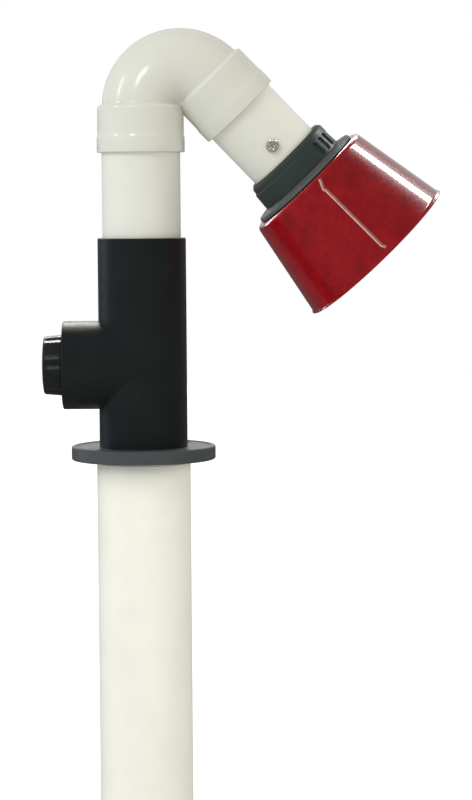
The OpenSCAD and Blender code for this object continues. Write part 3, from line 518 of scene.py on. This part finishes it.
def both_halves(half):
    """Rows of the riser's half, then its mirror image in the middle plane."""
    rel = half - [BEND_R, 0, 0]
    image = rel - 2 * (rel @ MIDDLE_NORMAL)[..., None] * MIDDLE_NORMAL + [BEND_R, 0, 0]
    return np.concatenate([half, image[::-1]])


# %% Outside and inside of the bend
def outer_half(turn):
    """Rows of the outside from the mouth to the middle plane. Round the tube's crook,
    within 22 to 34 degrees, its radius eases out to the socket's, so the shoulder fades
    into the web there."""
    near = np.abs(wrapped(np.degrees(turn)))
    tube = SOCKET_R + (TUBE_R - SOCKET_R) * ease((near - WEB_FROM) / WEB_FADE)
    mouth = arc_points(MOUTH_ROUND - SOCKET_L, BEAD_R - MOUTH_ROUND, MOUTH_ROUND,
                       180, 90, 5)
    outline = np.concatenate([mouth, BEAD_AND_SLEEVE])
    rise = np.linspace(0, 1, 9)[1:, None]
    return np.concatenate([
        bend_lines(outline[:, 1:], turn, outline[:, :1]),
        bend_lines(SOCKET_R + (tube - SOCKET_R) * ease(rise), turn,
                   SHOULDER_FROM + (SHOULDER_TO - SHOULDER_FROM) * rise),
        turned_rows(tube, turn, SHOULDER_TO, 34)])


def bend_points(turn):
    """Grid of the whole wall, in the bend's own measures. Rows go along the outside from
    mouth to mouth and back along the inside."""
    turn = turn[None, :]
    inner = np.concatenate([
        bend_lines(SEAT_AND_STOP[:, 1:], turn, SEAT_AND_STOP[:, :1]),
        turned_rows(np.full_like(turn, BORE_R), turn, 0.0, 26)])
    return np.concatenate([both_halves(outer_half(turn)), both_halves(inner)[::-1]])


def from_bend(points):
    """Points of the bend's own measures as points of the model."""
    return (points[..., :1] * AHEAD + points[..., 1:2] * SIDE
            + (BEND_START + points[..., 2:]) * UP)


round_bend = np.radians(dense_angles([0.0], half_width=40.0, coarse=2.5, fine=1.0))
gooseneck = surface("white_gooseneck", from_bend(bend_points(round_bend)), "arm",
                    bend_white, close_rows=True)
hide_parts("gooseneck_bend")

# %% [markdown]
# ## The hood
#
# The hood is a thin shell of coloured plastic: a flat top under the grey plate, a round
# shoulder, a side that flares, and an edge that turns out for stiffness. Its outline spun
# round the slanting axis gives all of that. A slim rib runs down its side. A rib that is
# laid on as a separate bar never meets the shell softly, so here the rib is part of the
# surface: the radius swells along one line, in two close ridges with a hollow between
# them, which is why its highlight in the picture is a double line.

# %% The hood's measures
HOOD_AT = span_along("hood_shell")[0]
HOOD_L, TOP_R, MOUTH_R = 98.0 * MM, 65.2 * MM, 83.5 * MM
ROUND, WALL, OPEN_R = 5.5 * MM, 2.6 * MM, 33.2 * MM
EDGE_FROM, EDGE_L, EDGE_OUT = 93.0 * MM, 3.2 * MM, 1.3 * MM
TIP_R, TIP_DROP = 1.0 * MM, 0.1 * MM
INNER_FROM, INNER_TO = 95.4 * MM, 6.2 * MM
INNER_OUT, INNER_OUT_FROM, INNER_OUT_L = 1.0 * MM, 92.0 * MM, 4.0 * MM
FLARE = math.atan((MOUTH_R - TOP_R) / HOOD_L)
print("the hood's side flares by", round(math.degrees(FLARE), 1), "degrees")


# %% The hood's outline
def side_r(u):
    """Radius of the straight flaring side at a distance below the top."""
    return TOP_R + u * math.tan(FLARE)


def hood_outline():
    """Closed outline (radius, distance below the top): out along the top, round the
    shoulder, down the side, out over the edge, and back along the inside. The number of
    its points that lie above the edge, on the outer skin, comes with it."""
    shoulder_r = side_r(ROUND) - ROUND / math.cos(FLARE)
    flare = math.degrees(FLARE)
    top = np.stack([np.linspace(OPEN_R, shoulder_r, 10)[:-1], np.zeros(9)], -1)
    shoulder = arc_points(shoulder_r, ROUND, ROUND, -90, -flare, 12)
    down = np.linspace(shoulder[-1, 1], EDGE_FROM, 96)[1:]
    side = np.stack([side_r(down), down], -1)
    out = np.linspace(0, 1, 10)[1:]
    u = EDGE_FROM + EDGE_L * out
    edge = np.stack([side_r(u) + EDGE_OUT * out ** 2, u], -1)
    tip = arc_points(edge[-1, 0] - TIP_R, edge[-1, 1] + TIP_DROP, TIP_R, 20, 180, 8)
    inner_u = np.linspace(INNER_FROM, INNER_TO, 50)
    turn_out = INNER_OUT * np.clip((inner_u - INNER_OUT_FROM) / INNER_OUT_L, 0, 1) ** 2
    inner = np.stack([side_r(inner_u) - WALL / math.cos(FLARE) + turn_out, inner_u], -1)
    inside = arc_points(shoulder_r, ROUND, ROUND - WALL, -flare, -90, 8)
    back = np.stack([np.linspace(shoulder_r, OPEN_R, 8)[1:], np.full(7, WALL)], -1)
    outline = np.concatenate([top, shoulder, side, edge, tip, inner, inside, back])
    return outline, len(top) + len(shoulder) + len(side)


# %% [markdown]
# The rib starts in a hook that swings over the shoulder, kinks, runs straight, and ends
# in a small crescent. Its ridges are a place across the rib and the length of their flank,
# and its painted highlight lines a place, a width and a share each, in millimetres.

# %% The rib's measures
RIB_TURN, RIB_REACH = 269.4, 12
RIB_TURNS = (RIB_TURN, RIB_TURN - 180)
HOOK_OUT, HOOK_FROM, HOOK_L = 3.0 * MM, 2.5 * MM, 9.0 * MM
KINK_IN, KINK_AT, KINK_L = 0.9 * MM, 12.5 * MM, 1.8 * MM
BOW_OUT, BOW_FROM, BOW_L = 1.6 * MM, 86.5 * MM, 4.0 * MM
RIB_FROM, RIB_FADE_IN, RIB_TO, RIB_FADE_OUT = 2.2 * MM, 2.0 * MM, 91.5 * MM, 1.6 * MM
RIDGES = ((0.8, 1.0), (-1.15, 0.55))
# Pale lines painted along the crest: a painted highlight.
PAINTED_HIGHLIGHT_LINES = ((0.7, 0.62, 1.0), (-1.1, 0.45, 0.35))
FLANK_SLOPE = 0.95
print("the rib is", round((RIB_TO - RIB_FROM) / MM, 1), "mm long")


# %% The rib as a swelling of the hood's skin
def roof(x, flank):
    """Height of a small ridge: it rises in a straight flank to a crest at x = 0 and
    falls off softly behind."""
    rise = np.clip(1 + x / flank, 0, 1)
    fall = 1 - ease(x / flank)
    return FLANK_SLOPE * flank * np.where(x < 0, rise, fall)


def rib_relief(u, across):
    """Height of the rib's skin, and the share of its painted highlight. u is the distance below
    the hood's top and across the arc length from the rib's middle line, in metres. The
    hook and the crescent are smooth steps aside, and the kink and the painted highlight
    are bells, of e to the minus square."""
    hook = HOOK_OUT * (1 - ease((u - HOOK_FROM) / HOOK_L))
    kink = KINK_IN * np.exp(-((u - KINK_AT) / KINK_L) ** 2)
    bow = BOW_OUT * ease((u - BOW_FROM) / BOW_L)
    x = across + hook - kink + bow
    ends = ease((u - RIB_FROM) / RIB_FADE_IN) * ease((RIB_TO - u) / RIB_FADE_OUT)
    height = sum(roof(x - at * MM, flank * MM) for at, flank in RIDGES)
    # The painted highlight: pale bells along the crest.
    painted_line = sum(share * np.exp(-((x - at * MM) / (width * MM)) ** 2)
               for at, width, share in PAINTED_HIGHLIGHT_LINES)
    return height * ends, painted_line * ends


def hood_points(turn):
    """Grid of the hood and the rib's painted highlight: its outline in every direction round
    the axis, with the rib's height added at right angles to the side, on the outer skin."""
    outline, outer_count = hood_outline()
    r, u = outline[:, :1], outline[:, 1:]
    outer = (np.arange(len(outline)) < outer_count)[:, None]
    lift = painted_highlight = 0.0
    for place in RIB_TURNS:
        off = wrapped(np.degrees(turn) - place)
        height, painted_line = rib_relief(u, np.radians(off) * r)
        here = outer & (np.abs(off) < RIB_REACH)
        lift, painted_highlight = lift + np.where(here, height, 0.0), painted_highlight + np.where(here, painted_line, 0.0)
    r = r + lift * math.cos(FLARE)
    return spin_in(r, HOOD_AT + u - lift * math.sin(FLARE), turn), painted_highlight


round_hood = np.radians(dense_angles(RIB_TURNS, half_width=4.2, coarse=2.0, fine=0.1))
hood_grid, rib_painted_highlight = hood_points(round_hood)
hood = surface("red_hood", hood_grid, "head", hood_red, close_rows=True,
               painted_highlight=rib_painted_highlight)
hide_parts("hood_shell")

# %% [markdown]
# ## The lock ring
#
# The lock ring is one moulding: a bevelled band, a step, and a grip part with a thumb pad
# and two groups of three round-ended hollows with thin ridges between them. Cut out of a
# turned ring, the hollows would have sharp edges. Here the ring's outside is a radius
# that depends on the place along and round it, and each hollow is a smooth dip in it.

# %% The lock ring's measures
LOCK_AT = span_along("lock_ring")[0]
BAND_R, GRIP_R, LOCK_BEVEL = 43.5 * MM, 45.4 * MM, 3.1 * MM
PAD_OUT, PAD_L = 2.6 * MM, 10.4 * MM
SLOT_W, SLOT_DEPTH, SLOT_WALL = 7.4 * MM, 2.0 * MM, 0.6 * MM
SLOT_FROM, SLOT_TO = 8.7 * MM, 23.9 * MM
PAD_TURN, SLOT_TURN, SLOT_PITCH = 180, 42.4, 13.2
SLOT_TURNS = [PAD_TURN + side * (SLOT_TURN + step * SLOT_PITCH)
              for side in (-1, 1) for step in (-1, 0, 1)]
LOCK_OUTSIDE = np.array([(0.0, 40.4), (3.1, 43.5), (7.6, 44.0), (9.0, 45.4),
                         (25.0, 46.5)]) * MM
LOCK_BORE = np.array([(25.0, 42.8), (18.1, 42.8), (18.1, 41.4), (9.0, 41.4), (9.0, 37.9),
                      (0.0, 37.9)]) * MM
LOCK_ROWS = np.concatenate([
    np.linspace(0, 3.1, 5), np.linspace(3.8, 9.0, 9), [9.6, 10.1, 10.4, 10.45],
    np.linspace(10.8, 24.2, 46), [24.6, 25.0]]) * MM
print("the lock ring starts", round(LOCK_AT, 4), "m along the axis")


# %% The lock ring's outside
def lock_radius(u, turn):
    """Radius of the outside at a distance below the ring's top: straight stretches
    between the corners, or the thumb pad's circle, whose centre is set off, where that
    is wider, less the dips. A dip is a smooth step of the depth inside a rounded bar."""
    plain = np.interp(u, *LOCK_OUTSIDE.T) + 0 * turn
    pad_r = BAND_R - np.clip(LOCK_BEVEL - u, 0, LOCK_BEVEL)
    along = -PAD_OUT * np.cos(turn)
    pad = along + np.sqrt(pad_r ** 2 - PAD_OUT ** 2 + along ** 2)
    r = np.where(u <= PAD_L, np.maximum(plain, pad), plain)
    middle, half = (SLOT_FROM + SLOT_TO) / 2, (SLOT_TO - SLOT_FROM) / 2
    for place in SLOT_TURNS:
        across = np.radians(wrapped(np.degrees(turn) - place)) * GRIP_R
        end = np.clip(np.abs(u - middle) - (half - SLOT_W / 2), 0, None)
        inside = SLOT_W / 2 - np.hypot(across, end)
        r = r - SLOT_DEPTH * ease(inside / SLOT_WALL)
    return r


# %% The lock ring
def lock_points(turn):
    """Grid of the ring: across its top, down its outside, and back up its stepped bore."""
    turn = turn[None, :]
    down = LOCK_ROWS[:, None]
    r = np.vstack([lock_radius(down, turn), LOCK_BORE[:, 1:] + 0 * turn])
    return spin_in(r, LOCK_AT + np.vstack([down, LOCK_BORE[:, :1]]), turn)


round_lock = np.radians(dense_angles(SLOT_TURNS, half_width=6.3, coarse=2.4, fine=0.3))
lock = surface("grey_lock_ring", lock_points(round_lock), "lock_ring",
               joint_grey, close_rows=True, sharp=32.0)
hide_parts("lock_ring")

# %% [markdown]
# ## The damper's knob
#
# The knob is a hollow moulding with six shallow hollows for the fingers. Cutting six
# cylinders out of a cone leaves sharp edges, while a hand-sized moulding has soft ones.
# Here the radius is a wave: it dips by a half cosine round each finger hollow, and the
# dip fades out towards the rounded end, so the hollows run out softly.

# %% The knob's measures
KNOB_LOW, KNOB_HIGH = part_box("damper_knob")
KNOB_END, HUB_AT = -KNOB_LOW.x, -KNOB_HIGH.x
KNOB_Z = (KNOB_LOW.z + KNOB_HIGH.z) / 2
KNOB_L, END_R, KNOB_ROUND, DOME_FALL = 18.8 * MM, 27.8 * MM, 2.1 * MM, 0.9 * MM
CAP_R, DOME_L, SIDE_FROM, SIDE_L = 9.1 * MM, 16.5 * MM, 3.0 * MM, 14.8 * MM
ROOM_R, HUB_R, SHAFT_HOLE_R, SCREW_HOLE_R = 23.8 * MM, 13.5 * MM, 4.15 * MM, 4.4 * MM
ROOM_DEPTH, SHAFT_DEPTH, CAP_DEPTH = 7.0 * MM, 4.6 * MM, 1.6 * MM
BELLY, TAPER, EDGE_SHARE = 0.45 * MM, 0.75 * MM, 0.55
HOLLOWS, HOLLOW_AT, HOLLOW_HALF, HOLLOW_DEPTH = 6, 4, 12, 1.3 * MM
KNOB_BACK = KNOB_END - KNOB_L
print("the knob sits", round(KNOB_BACK, 4), "m from the riser's axis")


# %% Knob surface
def knob_outline():
    """Closed outline (distance from the riser's axis, radius, share of the hollow):
    the cap's recess, the slightly domed end, the tapered side, the back rim, the room
    behind, the hub and its bore."""
    end, back = KNOB_END, KNOB_BACK
    dome = [(end - DOME_FALL * t ** 3, CAP_R + DOME_L * t, 0.0)
            for t in np.linspace(0, 1, 9)[1:]]
    bevel = arc_points(end - SIDE_FROM, END_R - KNOB_ROUND, KNOB_ROUND, 0, 90, 9)
    corner = [(x, y, t) for (x, y), t in zip(bevel, np.linspace(0, EDGE_SHARE, 9))]
    side = [(end - SIDE_FROM - SIDE_L * t, END_R + BELLY * math.sin(1.2 * t) + TAPER * t,
             EDGE_SHARE + (1 - EDGE_SHARE) * ease(6 * t))
            for t in np.linspace(0, 1, 16)[1:]]
    rim = [(back + 0.3 * MM, 28.7 * MM, 1.0), (back, 28.0 * MM, 0.9)]
    room = [(back, ROOM_R), (end - ROOM_DEPTH, ROOM_R), (end - ROOM_DEPTH, HUB_R),
            (HUB_AT, HUB_R), (HUB_AT, SHAFT_HOLE_R), (end - SHAFT_DEPTH, SHAFT_HOLE_R),
            (end - SHAFT_DEPTH, SCREW_HOLE_R), (end - CAP_DEPTH, SCREW_HOLE_R),
            (end - CAP_DEPTH, CAP_R), (end - 0.05 * MM, CAP_R)]
    return np.array(dome + corner + side + rim + [(x, r, 0.0) for x, r in room])


def knob_points(turn):
    """Grid of the knob, spun round the damper's axis. Each hollow takes its depth times
    half of one plus the cosine off the radius, over 12 degrees to either side."""
    s, r, share = np.moveaxis(knob_outline()[:, :, None], 1, 0)
    pitch = 360 / HOLLOWS
    off = (np.degrees(turn) - HOLLOW_AT + pitch / 2) % pitch - pitch / 2
    dip = np.where(np.abs(off) < HOLLOW_HALF,
                   (1 + np.cos(np.pi * off / HOLLOW_HALF)) / 2, 0)
    r = r - HOLLOW_DEPTH * share * dip[None, :]
    return np.stack([-s + 0 * r, -r * np.cos(turn), KNOB_Z + r * np.sin(turn)], axis=-1)


knob = surface("black_knob", knob_points(np.radians(np.arange(0, 360, 1.5))),
               "damper", knob_black, close_rows=True, sharp=50)
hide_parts("damper_knob")

# %% [markdown]
# ## The pan head screws
#
# Two plated screws go through the arm pipe near the lock ring. From a few metres such a
# screw is a small bright dome with a dark cross. The dome and its rolled edge are spun
# from an outline, and the cross is pressed into it by a function of the two distances
# from the cross's arms, whose walls slope as a punch leaves them.

# %% The screws' measures
SCREW_U = sum(span_along("pipe_screws")) / 2
PIPE_R, HEAD_R, HEAD_H, SHANK_R = 37.5 * MM, 6.4 * MM, 3.8 * MM, 3.0 * MM
DOME_ROWS, DOME_END_R, DOME_CURVE = 26, 5.3 * MM, 0.09
ARM_HALF, ARM_REACH, CROSS_DEPTH = 0.95 * MM, 3.5 * MM, 1.9 * MM
ARM_WALL, ARM_END = 0.35 * MM, 0.9 * MM
SCREW_TURNS = {"front": 276, "back": 96}
CROSS_TILT = math.radians(20)
print("the screws sit", round(SCREW_U, 4), "m along the axis")


# %% Screw surface
def cross_depth(x, y):
    """How deep the cross is pressed in: full inside its two arms, and sloping to nothing
    over a third of a millimetre at their walls and more softly at their ends."""
    def arm(a, b):
        wall = ease((ARM_HALF - np.abs(b)) / ARM_WALL + 0.5)
        return wall * ease((ARM_REACH - np.abs(a)) / ARM_END + 0.5)
    return CROSS_DEPTH * np.maximum(arm(x, y), arm(y, x))


def screw_points():
    """Grid of one screw: (out along its axis, x, y). Rows run from the head's middle
    over the dome, a parabola, and the rolled edge, then down the shank to its tip."""
    turn = np.radians(np.arange(0, 360, 5.0))
    r = np.linspace(0, DOME_END_R, DOME_ROWS)
    dome = np.stack([HEAD_H - DOME_CURVE * r ** 2 / HEAD_R, r], -1)
    low = dome[-1, 0]
    edge = np.array([(low - 0.25 * MM, 5.85 * MM), (low - 0.75 * MM, 6.25 * MM),
                     (low - 1.3 * MM, HEAD_R), (0.25 * MM, HEAD_R), (0, 6.1 * MM),
                     (0, SHANK_R), (-5.0 * MM, SHANK_R), (-5.3 * MM, 0.0)])
    outline = np.concatenate([dome, edge])
    out, r = outline[:, :1] + 0 * turn, outline[:, 1:]
    x, y = r * np.cos(turn), r * np.sin(turn)
    on_dome = np.arange(len(outline))[:, None] < DOME_ROWS
    return out - np.where(on_dome, cross_depth(x, y), 0), x, y


def screw_round_pipe(degrees):
    """The screw at a place round the slanting pipe, standing out from it."""
    out, x, y = screw_points()
    turn = math.radians(degrees)
    a = x * math.cos(CROSS_TILT) - y * math.sin(CROSS_TILT)
    b = x * math.sin(CROSS_TILT) + y * math.cos(CROSS_TILT)
    away = PIPE_R + out
    return slant(away * math.cos(turn) - b * math.sin(turn),
                 away * math.sin(turn) + b * math.cos(turn), SCREW_U + a)


screw_pieces = [surface("pipe_screw_" + name, screw_round_pipe(degrees), "arm",
                        steel, sharp=60) for name, degrees in SCREW_TURNS.items()]
for piece in screw_pieces:
    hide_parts("pipe_screws")

# %% [markdown]
# ## Stage, light and camera
#
# The floor and the world behind it are white where the camera sees them straight, so the
# arm stands on a plain white ground, and the floor still darkens where a shadow falls.
# What the arm mirrors is another matter. White stood only behind and above it, and the
# room on the camera's side was dark, which is why the hood stays deep red. So the world
# has three parts: what the camera sees, what gloss sees, and the soft light that it sheds,
# which is cool on the left and warmer and dimmer on the right.

# %% White floor
FLOOR_SIZE, FLOOR_PALE, FLOOR_GLOW, FLOOR_IN_GLOSS = 14.0, 0.92, 0.6, 0.1


def mix_by(tree, switch, plain, other):
    """A mix of two shaders: the plain one, and the other one where the switch is on."""
    mix = node_of(tree, "ShaderNodeMixShader")
    link(tree, switch, mix.inputs["Fac"])
    link(tree, plain.outputs[0], mix.inputs[1])
    link(tree, other.outputs[0], mix.inputs[2])
    return mix


def white_floor(level):
    """A wide square at one level: pale and matt, white to the camera and dim in gloss."""
    half = FLOOR_SIZE / 2
    corners = [(-half, -half, level), (half, -half, level), (half, half, level),
               (-half, half, level)]
    mesh = bpy.data.meshes.new("floor")
    mesh.from_pydata(corners, [], [(0, 1, 2, 3)])
    floor = bpy.data.objects.new("floor", mesh)
    bpy.context.scene.collection.objects.link(floor)
    material, tree, shader, coords = start_material("pale floor")
    tree.nodes.remove(coords.node)
    set_inputs(shader, Base_Color=(FLOOR_PALE, FLOOR_PALE, FLOOR_PALE, 1.0), Roughness=0.9,
               Specular_IOR_Level=0.1, Emission_Color=(1.0, 1.0, 1.0, 1.0))
    path = node_of(tree, "ShaderNodeLightPath")
    glow = node_of(tree, "ShaderNodeMath", operation="MULTIPLY")
    glow.inputs[1].default_value = FLOOR_GLOW
    link(tree, path.outputs["Is Camera Ray"], glow.inputs[0])
    link(tree, glow.outputs[0], shader.inputs["Emission Strength"])
    dim = node_of(tree, "ShaderNodeEmission")
    set_inputs(dim, Strength=FLOOR_IN_GLOSS)
    mixed = mix_by(tree, path.outputs["Is Glossy Ray"], shader, dim)
    link(tree, mixed.outputs[0], tree.nodes["Material Output"].inputs["Surface"])
    mesh.materials.append(material)


# %% White world
def eased(tree, value, low, high):
    """A smooth step of a direction's coordinate, between two values."""
    node = node_of(tree, "ShaderNodeMapRange", interpolation_type="SMOOTHSTEP")
    set_inputs(node, From_Min=low, From_Max=high)
    link(tree, value, node.inputs["Value"])
    return node.outputs["Result"]


def white_world(fill, cool, warm, room, behind):
    """White to the camera and through clear things. In gloss it is white behind and above
    and dim at the room's side. Its soft light goes from cool on the left to warm."""
    world = bpy.data.worlds.new("studio")
    bpy.context.scene.world = world
    world.use_nodes = True
    tree = world.node_tree
    tree.nodes.clear()
    output = node_of(tree, "ShaderNodeOutputWorld")
    path = node_of(tree, "ShaderNodeLightPath")
    way = node_of(tree, "ShaderNodeSeparateXYZ")
    link(tree, node_of(tree, "ShaderNodeTexCoord").outputs["Generated"], way.inputs[0])
    soft, gloss, white = (node_of(tree, "ShaderNodeBackground") for _ in range(3))
    rightwards = eased(tree, way.outputs["X"], low=-1.0, high=1.0)
    link(tree, ramp(tree, rightwards, [(0.0, cool), (1.0, warm)]), soft.inputs["Color"])
    set_inputs(soft, Strength=fill)
    high = node_of(tree, "ShaderNodeMath", operation="MULTIPLY")
    link(tree, eased(tree, way.outputs["Y"], low=0.3, high=0.8), high.inputs[0])
    link(tree, eased(tree, way.outputs["Z"], low=-0.02, high=0.1), high.inputs[1])
    link(tree, spread(tree, high.outputs[0], room, behind), gloss.inputs["Strength"])
    seen = node_of(tree, "ShaderNodeMath", operation="MAXIMUM")
    link(tree, path.outputs["Is Camera Ray"], seen.inputs[0])
    link(tree, path.outputs["Is Transmission Ray"], seen.inputs[1])
    for background in (gloss, white):
        set_inputs(background, Color=(1.0, 1.0, 1.0, 1.0))
    last = mix_by(tree, path.outputs["Is Glossy Ray"], soft, gloss)
    last = mix_by(tree, seen.outputs[0], last, white)
    link(tree, last.outputs[0], output.inputs["Surface"])
    print("world:", world.name)


white_floor(cad_low[2] - 0.5 * MM)
white_world(fill=0.76, cool=(0.98, 1.0, 1.0), warm=(0.88, 0.83, 0.74), room=0.1,
            behind=0.6)


# %% [markdown]
# A large soft light stands in front on the left, as the bright left edges of the white
# pipes show. A few weaker ones lift some of the pieces, such as the pipe below the bench,
# where the flange's shadow shows that it was lit from in front as well. The other lamps
# only draw highlights: each stands where a highlight in the picture points to when the
# line of sight is mirrored in the surface there. One above on the right draws the long
# white streak on the hood, one above and behind lights the tops of the knob's housing and
# of the hood's shoulder, and those low on the left behind give the black tube and the
# hood's left shoulder a cool rim. The four windows draw the small highlights on the bend,
# the knob and the screws.


# %% Lamps
def lamp(name, place, target, size, power, colour, spin, only_gloss, only_on):
    """A rectangular soft light at a place, facing a target and spun about its own axis.
    It either sheds light or shows in gloss, and can be kept to the pieces it is for."""
    data = bpy.data.lights.new(name, "AREA")
    data.shape = "RECTANGLE"
    data.size, data.size_y = size
    data.energy = power
    data.color = colour
    thing = bpy.data.objects.new(name, data)
    facing = (Vector(target) - Vector(place)).to_track_quat("-Z", "Y").to_matrix()
    thing.matrix_world = (Matrix.Translation(place) @ facing.to_4x4()
                          @ Matrix.Rotation(math.radians(spin), 4, "Z"))
    thing.visible_diffuse = not only_gloss
    thing.visible_glossy = only_gloss
    if only_on:
        lit = bpy.data.collections.new(name + " pieces")
        for piece in only_on:
            lit.objects.link(piece)
        thing.light_linking.receiver_collection = lit
    bpy.context.scene.collection.objects.link(thing)


plate, duct, arm_pipe = nodes["hood_plate"], nodes["duct_pipe"], nodes["arm_pipe"]
white_pipes = [gooseneck, nodes["riser_pipe"], arm_pipe, duct]
black_body = [nodes["valve_body"], nodes["housing_cover"], nodes["bench_flange"], knob,
              nodes["knob_cap"]]
PLAIN, COOL, BLUE = (1.0, 1.0, 1.0), (0.85, 0.92, 1.0), (0.55, 0.72, 1.0)
WARM, CREAM, IVORY = (1.0, 0.96, 0.88), (1.0, 0.97, 0.87), (1.0, 0.98, 0.92)

# %% [markdown]
# Each row gives a lamp's name, its place and target, its width and height, its power in
# watts, its colour and its spin in degrees. Then it says whether the lamp only shows in
# gloss, and which pieces it lights. No piece named there means all of them.

# %% The lamps' table
LAMPS = [
    ("key light", (-1.7, -1.7, 1.9), (0.03, 0.0, 0.15), (1.2, 1.2), 29.0, PLAIN, 0.0,
     False, []),
    ("right light", (2.2, -0.5, 0.8), (0.05, 0.0, 0.1), (0.9, 0.9), 6.0, WARM, 0.0,
     False, white_pipes),
    ("duct light", (-1.3, -2.1, 0.9), (0.0, 0.0, -0.25), (0.6, 0.6), 22.0, PLAIN, 0.0,
     False, [duct]),
    ("duct glow", (2.0, -0.9, 0.4), (0.0, 0.0, -0.25), (0.9, 0.9), 13.0, CREAM, 0.0,
     False, [duct]),
    ("arm light", (1.6, 0.6, 1.9), (0.1, 0.0, 0.3), (0.8, 0.8), 12.0, PLAIN, 0.0,
     False, [arm_pipe]),
    ("low light", (-1.7, -1.1, -0.1), (0.24, 0.0, 0.2), (0.8, 0.8), 4.0, PLAIN, 0.0,
     False, [hood]),
    ("streak light", (1.5, 0.85, 1.87), (0.24, -0.02, 0.27), (0.3, 1.2), 25.0, PLAIN,
     27.0, True, [hood, plate, lock, *screw_pieces]),
    ("top light", (-0.1, 1.8, 1.65), (0.0, 0.0, 0.15), (1.8, 0.4), 48.0, IVORY, 0.0,
     True, [hood, *black_body]),
    ("rim light", (-1.35, 1.35, 0.5), (0.1, 0.0, 0.2), (0.3, 0.8), 10.0, COOL, 0.0,
     True, [hood, plate]),
    ("skirt light", (-1.35, 1.35, 0.5), (0.1, 0.0, 0.2), (0.3, 0.8), 8.0, COOL, 0.0,
     True, [plate]),
    ("edge light", (-1.9, 0.75, 0.3), (0.0, 0.0, 0.05), (0.4, 0.8), 2.5, BLUE, 0.0,
     True, black_body),
    ("left window", (-2.0, -0.74, 1.17), (0.0, 0.0, 0.35), (0.24, 0.7), 7.0, PLAIN, 0.0,
     True, [gooseneck]),
    ("front window", (-0.7, -1.95, 1.2), (0.05, 0.0, 0.35), (0.34, 0.5), 10.0, PLAIN,
     0.0, True, [gooseneck]),
    ("screw window", (0.0, -1.7, 1.65), (0.16, -0.03, 0.3), (1.2, 0.3), 16.0, PLAIN, 0.0,
     True, screw_pieces),
    ("knob window", (-0.7, -1.95, 1.2), (-0.08, 0.0, 0.09), (0.34, 0.5), 3.0, PLAIN, 0.0,
     True, [knob]),
]
for row in LAMPS:
    lamp(*row)
print("lamps:", len(LAMPS))

# %% [markdown]
# The camera stood about two and a half metres off with a long lens, a little higher than
# the valve body, and looked slightly down. Its place and tilt come from the sizes that
# the pieces have in the picture: the flange and the hood's rim show how far it looked
# down, and the pipes' widths show how far away it stood.

# %% Camera
PICTURE = (472, 800)
FOCAL_PIXELS = 2609.0
CAMERA_PLACE, CAMERA_DOWN, CAMERA_ROLL = (0.0891, -2.5, 0.2482), 4.4, -0.42


def look_from(place, down, roll):
    """A camera transform: facing +Y, then tipped down and rolled, in degrees."""
    facing = Matrix.Rotation(math.radians(90), 4, "X")
    tip = Matrix.Rotation(math.radians(-down), 4, "X")
    twist = Matrix.Rotation(math.radians(roll), 4, "Z")
    return Matrix.Translation(place) @ tip @ facing @ twist


camera_data = bpy.data.cameras.new("camera")
camera = bpy.data.objects.new("camera", camera_data)
bpy.context.scene.collection.objects.link(camera)
camera_data.sensor_width = 36.0
camera_data.sensor_fit = "AUTO"
camera_data.lens = camera_data.sensor_width * FOCAL_PIXELS / max(PICTURE)
camera_data.clip_end = 40.0
camera.matrix_world = look_from(CAMERA_PLACE, CAMERA_DOWN, CAMERA_ROLL)
bpy.context.scene.camera = camera
print("lens:", round(camera_data.lens, 1), "mm")

# %% Colours as they are
bpy.context.scene.view_settings.view_transform = "Standard"
